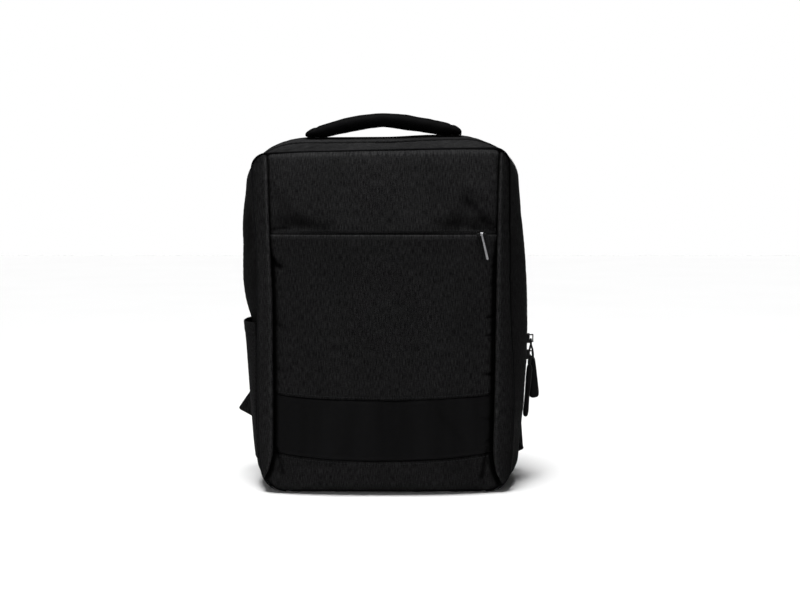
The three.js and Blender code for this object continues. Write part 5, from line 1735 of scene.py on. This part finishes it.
def stage():
    s = sizes()
    scene = bpy.context.scene
    scene.view_settings.view_transform = "Standard"
    scene.view_settings.look = "None"
    world = bpy.data.worlds.new("studio")
    world.use_nodes = True
    tree = world.node_tree
    background = tree.nodes["Background"]
    background.inputs["Color"].default_value = (1, 1, 1, 1)
    seen = tree.nodes.new("ShaderNodeLightPath").outputs["Is Camera Ray"]
    tree.links.new(ranged(tree, seen, 0, 1, ROOM_LIGHT, 1.0), background.inputs["Strength"])
    scene.world = world

    bm = bmesh.new()
    bmesh.ops.create_grid(bm, x_segments=2, y_segments=2, size=FLOOR_HALF)
    bmesh.ops.translate(bm, verts=bm.verts, vec=(0, 0, -FLOOR_DROP * MM))
    floor_material, tree, shader = new_material("studio_floor")
    cloudy = noise(tree, coordinates(tree, "Object", (400, 400, 400)), 2.0)
    pale = tuple(s.floor)
    paint(tree, shader, ranged(tree, cloudy, 0.3, 0.7), scaled(pale, 0.985), pale)
    shader.inputs["Roughness"].default_value = 0.9
    shader.inputs["Specular IOR Level"].default_value = 0.1
    floor = mesh_object("studio_floor", bm, floor_material)

    for name, direction, spread, strength in SUNS:
        light = bpy.data.lights.new(name, "SUN")
        light.angle, light.energy = math.radians(spread), strength
        aim = Vector(direction).to_track_quat("Z", "Y").to_euler()
        placed(name, light, (0, 0, 0), aim)
    panel = bpy.data.lights.new("top panel", "AREA")
    panel.shape, panel.size, panel.energy = "DISK", TOP_PANEL_SIZE, TOP_PANEL_POWER
    placed("top panel", panel, TOP_PANEL_PLACE)
    camera = bpy.data.cameras.new("camera")
    camera.sensor_width, camera.lens = CAMERA_SENSOR, CAMERA_LENS
    scene.camera = placed("camera", camera, CAMERA_PLACE, (math.radians(90 - CAMERA_PITCH), 0, 0))


# Operators, panel and main


class BACKPACK_OT_stage(bpy.types.Operator):
    """Camera, lights and floor."""

    bl_idname = "backpack.stage"
    bl_label = "Stage"
    bl_options = {"REGISTER", "UNDO"}

    def execute(self, context):
        stage()
        return {"FINISHED"}


class BACKPACK_OT_face(bpy.types.Operator):
    """Lower panel, band, pocket panel and upper panel."""

    bl_idname = "backpack.face"
    bl_label = "Face panels"
    bl_options = {"REGISTER", "UNDO"}

    def execute(self, context):
        face_panels()
        return {"FINISHED"}


class BACKPACK_OT_wings(bpy.types.Operator):
    """The strips beside the upright seams."""

    bl_idname = "backpack.wings"
    bl_label = "Wings"
    bl_options = {"REGISTER", "UNDO"}

    def execute(self, context):
        wings()
        return {"FINISHED"}


class BACKPACK_OT_piping(bpy.types.Operator):
    """The corded edge of the front seam."""

    bl_idname = "backpack.piping"
    bl_label = "Piping"
    bl_options = {"REGISTER", "UNDO"}

    def execute(self, context):
        piping()
        return {"FINISHED"}


class BACKPACK_OT_gussets(bpy.types.Operator):
    """Sides and top in front of and behind the zip."""

    bl_idname = "backpack.gussets"
    bl_label = "Gussets"
    bl_options = {"REGISTER", "UNDO"}

    def execute(self, context):
        gussets()
        return {"FINISHED"}


class BACKPACK_OT_zips(bpy.types.Operator):
    """Tapes and coils of both zips."""

    bl_idname = "backpack.zips"
    bl_label = "Zips"
    bl_options = {"REGISTER", "UNDO"}

    def execute(self, context):
        main_zip()
        pocket_zip()
        return {"FINISHED"}


class BACKPACK_OT_base(bpy.types.Operator):
    """The base panel."""

    bl_idname = "backpack.base"
    bl_label = "Base"
    bl_options = {"REGISTER", "UNDO"}

    def execute(self, context):
        base_cloth()
        return {"FINISHED"}


class BACKPACK_OT_back(bpy.types.Operator):
    """The padded back."""

    bl_idname = "backpack.back"
    bl_label = "Back"
    bl_options = {"REGISTER", "UNDO"}

    def execute(self, context):
        back_pad()
        return {"FINISHED"}


class BACKPACK_OT_side_pocket(bpy.types.Operator):
    """The stretch pocket with its hem."""

    bl_idname = "backpack.side_pocket"
    bl_label = "Side pocket"
    bl_options = {"REGISTER", "UNDO"}

    def execute(self, context):
        side_pocket()
        return {"FINISHED"}


class BACKPACK_OT_handle(bpy.types.Operator):
    """The padded handle."""

    bl_idname = "backpack.handle"
    bl_label = "Handle"
    bl_options = {"REGISTER", "UNDO"}

    def execute(self, context):
        handle()
        return {"FINISHED"}


class BACKPACK_OT_straps(bpy.types.Operator):
    """Both padded straps."""

    bl_idname = "backpack.straps"
    bl_label = "Shoulder straps"
    bl_options = {"REGISTER", "UNDO"}

    def execute(self, context):
        straps()
        return {"FINISHED"}


class BACKPACK_OT_webbing(bpy.types.Operator):
    """Loops and lower webbing of the straps."""

    bl_idname = "backpack.webbing"
    bl_label = "Webbing"
    bl_options = {"REGISTER", "UNDO"}

    def execute(self, context):
        strap_loops()
        strap_webbings()
        return {"FINISHED"}


class BACKPACK_OT_locks(bpy.types.Operator):
    """The moulded ladder locks."""

    bl_idname = "backpack.locks"
    bl_label = "Ladder locks"
    bl_options = {"REGISTER", "UNDO"}

    def execute(self, context):
        ladder_locks()
        return {"FINISHED"}


class BACKPACK_OT_tabs(bpy.types.Operator):
    """The sewn tabs at the rear seam."""

    bl_idname = "backpack.tabs"
    bl_label = "Strap tabs"
    bl_options = {"REGISTER", "UNDO"}

    def execute(self, context):
        strap_tabs()
        return {"FINISHED"}


class BACKPACK_OT_pulls(bpy.types.Operator):
    """Sliders, the metal pull, cords and moulded tabs."""

    bl_idname = "backpack.pulls"
    bl_label = "Sliders and pulls"
    bl_options = {"REGISTER", "UNDO"}

    def execute(self, context):
        pull_hardware()
        pull_cords()
        pull_tabs()
        return {"FINISHED"}


class BACKPACK_OT_stitching(bpy.types.Operator):
    """Rows of stitches."""

    bl_idname = "backpack.stitching"
    bl_label = "Stitching"
    bl_options = {"REGISTER", "UNDO"}

    def execute(self, context):
        stitching()
        return {"FINISHED"}


OPERATORS = [
    BACKPACK_OT_stage,
    BACKPACK_OT_face,
    BACKPACK_OT_wings,
    BACKPACK_OT_piping,
    BACKPACK_OT_gussets,
    BACKPACK_OT_zips,
    BACKPACK_OT_base,
    BACKPACK_OT_back,
    BACKPACK_OT_side_pocket,
    BACKPACK_OT_handle,
    BACKPACK_OT_straps,
    BACKPACK_OT_webbing,
    BACKPACK_OT_locks,
    BACKPACK_OT_tabs,
    BACKPACK_OT_pulls,
    BACKPACK_OT_stitching,
]


class BACKPACK_PT_panel(bpy.types.Panel):
    """Lists the pieces and their sizes."""

    bl_label = "Laptop backpack"
    bl_idname = "BACKPACK_PT_panel"
    bl_space_type = "VIEW_3D"
    bl_region_type = "UI"
    bl_category = "Backpack"

    def draw(self, context):
        column = self.layout.column()
        for made in OPERATORS:
            column.operator(made.bl_idname)
        for name in BackpackSizes.__annotations__:
            column.prop(context.scene.backpack, name)


CLASSES = [BackpackSizes, *OPERATORS, BACKPACK_PT_panel]


def register():
    for made in CLASSES:
        bpy.utils.register_class(made)
    bpy.types.Scene.backpack = PointerProperty(type=BackpackSizes)


def unregister():
    del bpy.types.Scene.backpack
    for made in reversed(CLASSES):
        bpy.utils.unregister_class(made)


def main():
    register()
    for made in OPERATORS:
        name = made.bl_idname.split(".")[1]
        getattr(bpy.ops.backpack, name)()


if __name__ == "__main__":
    main()
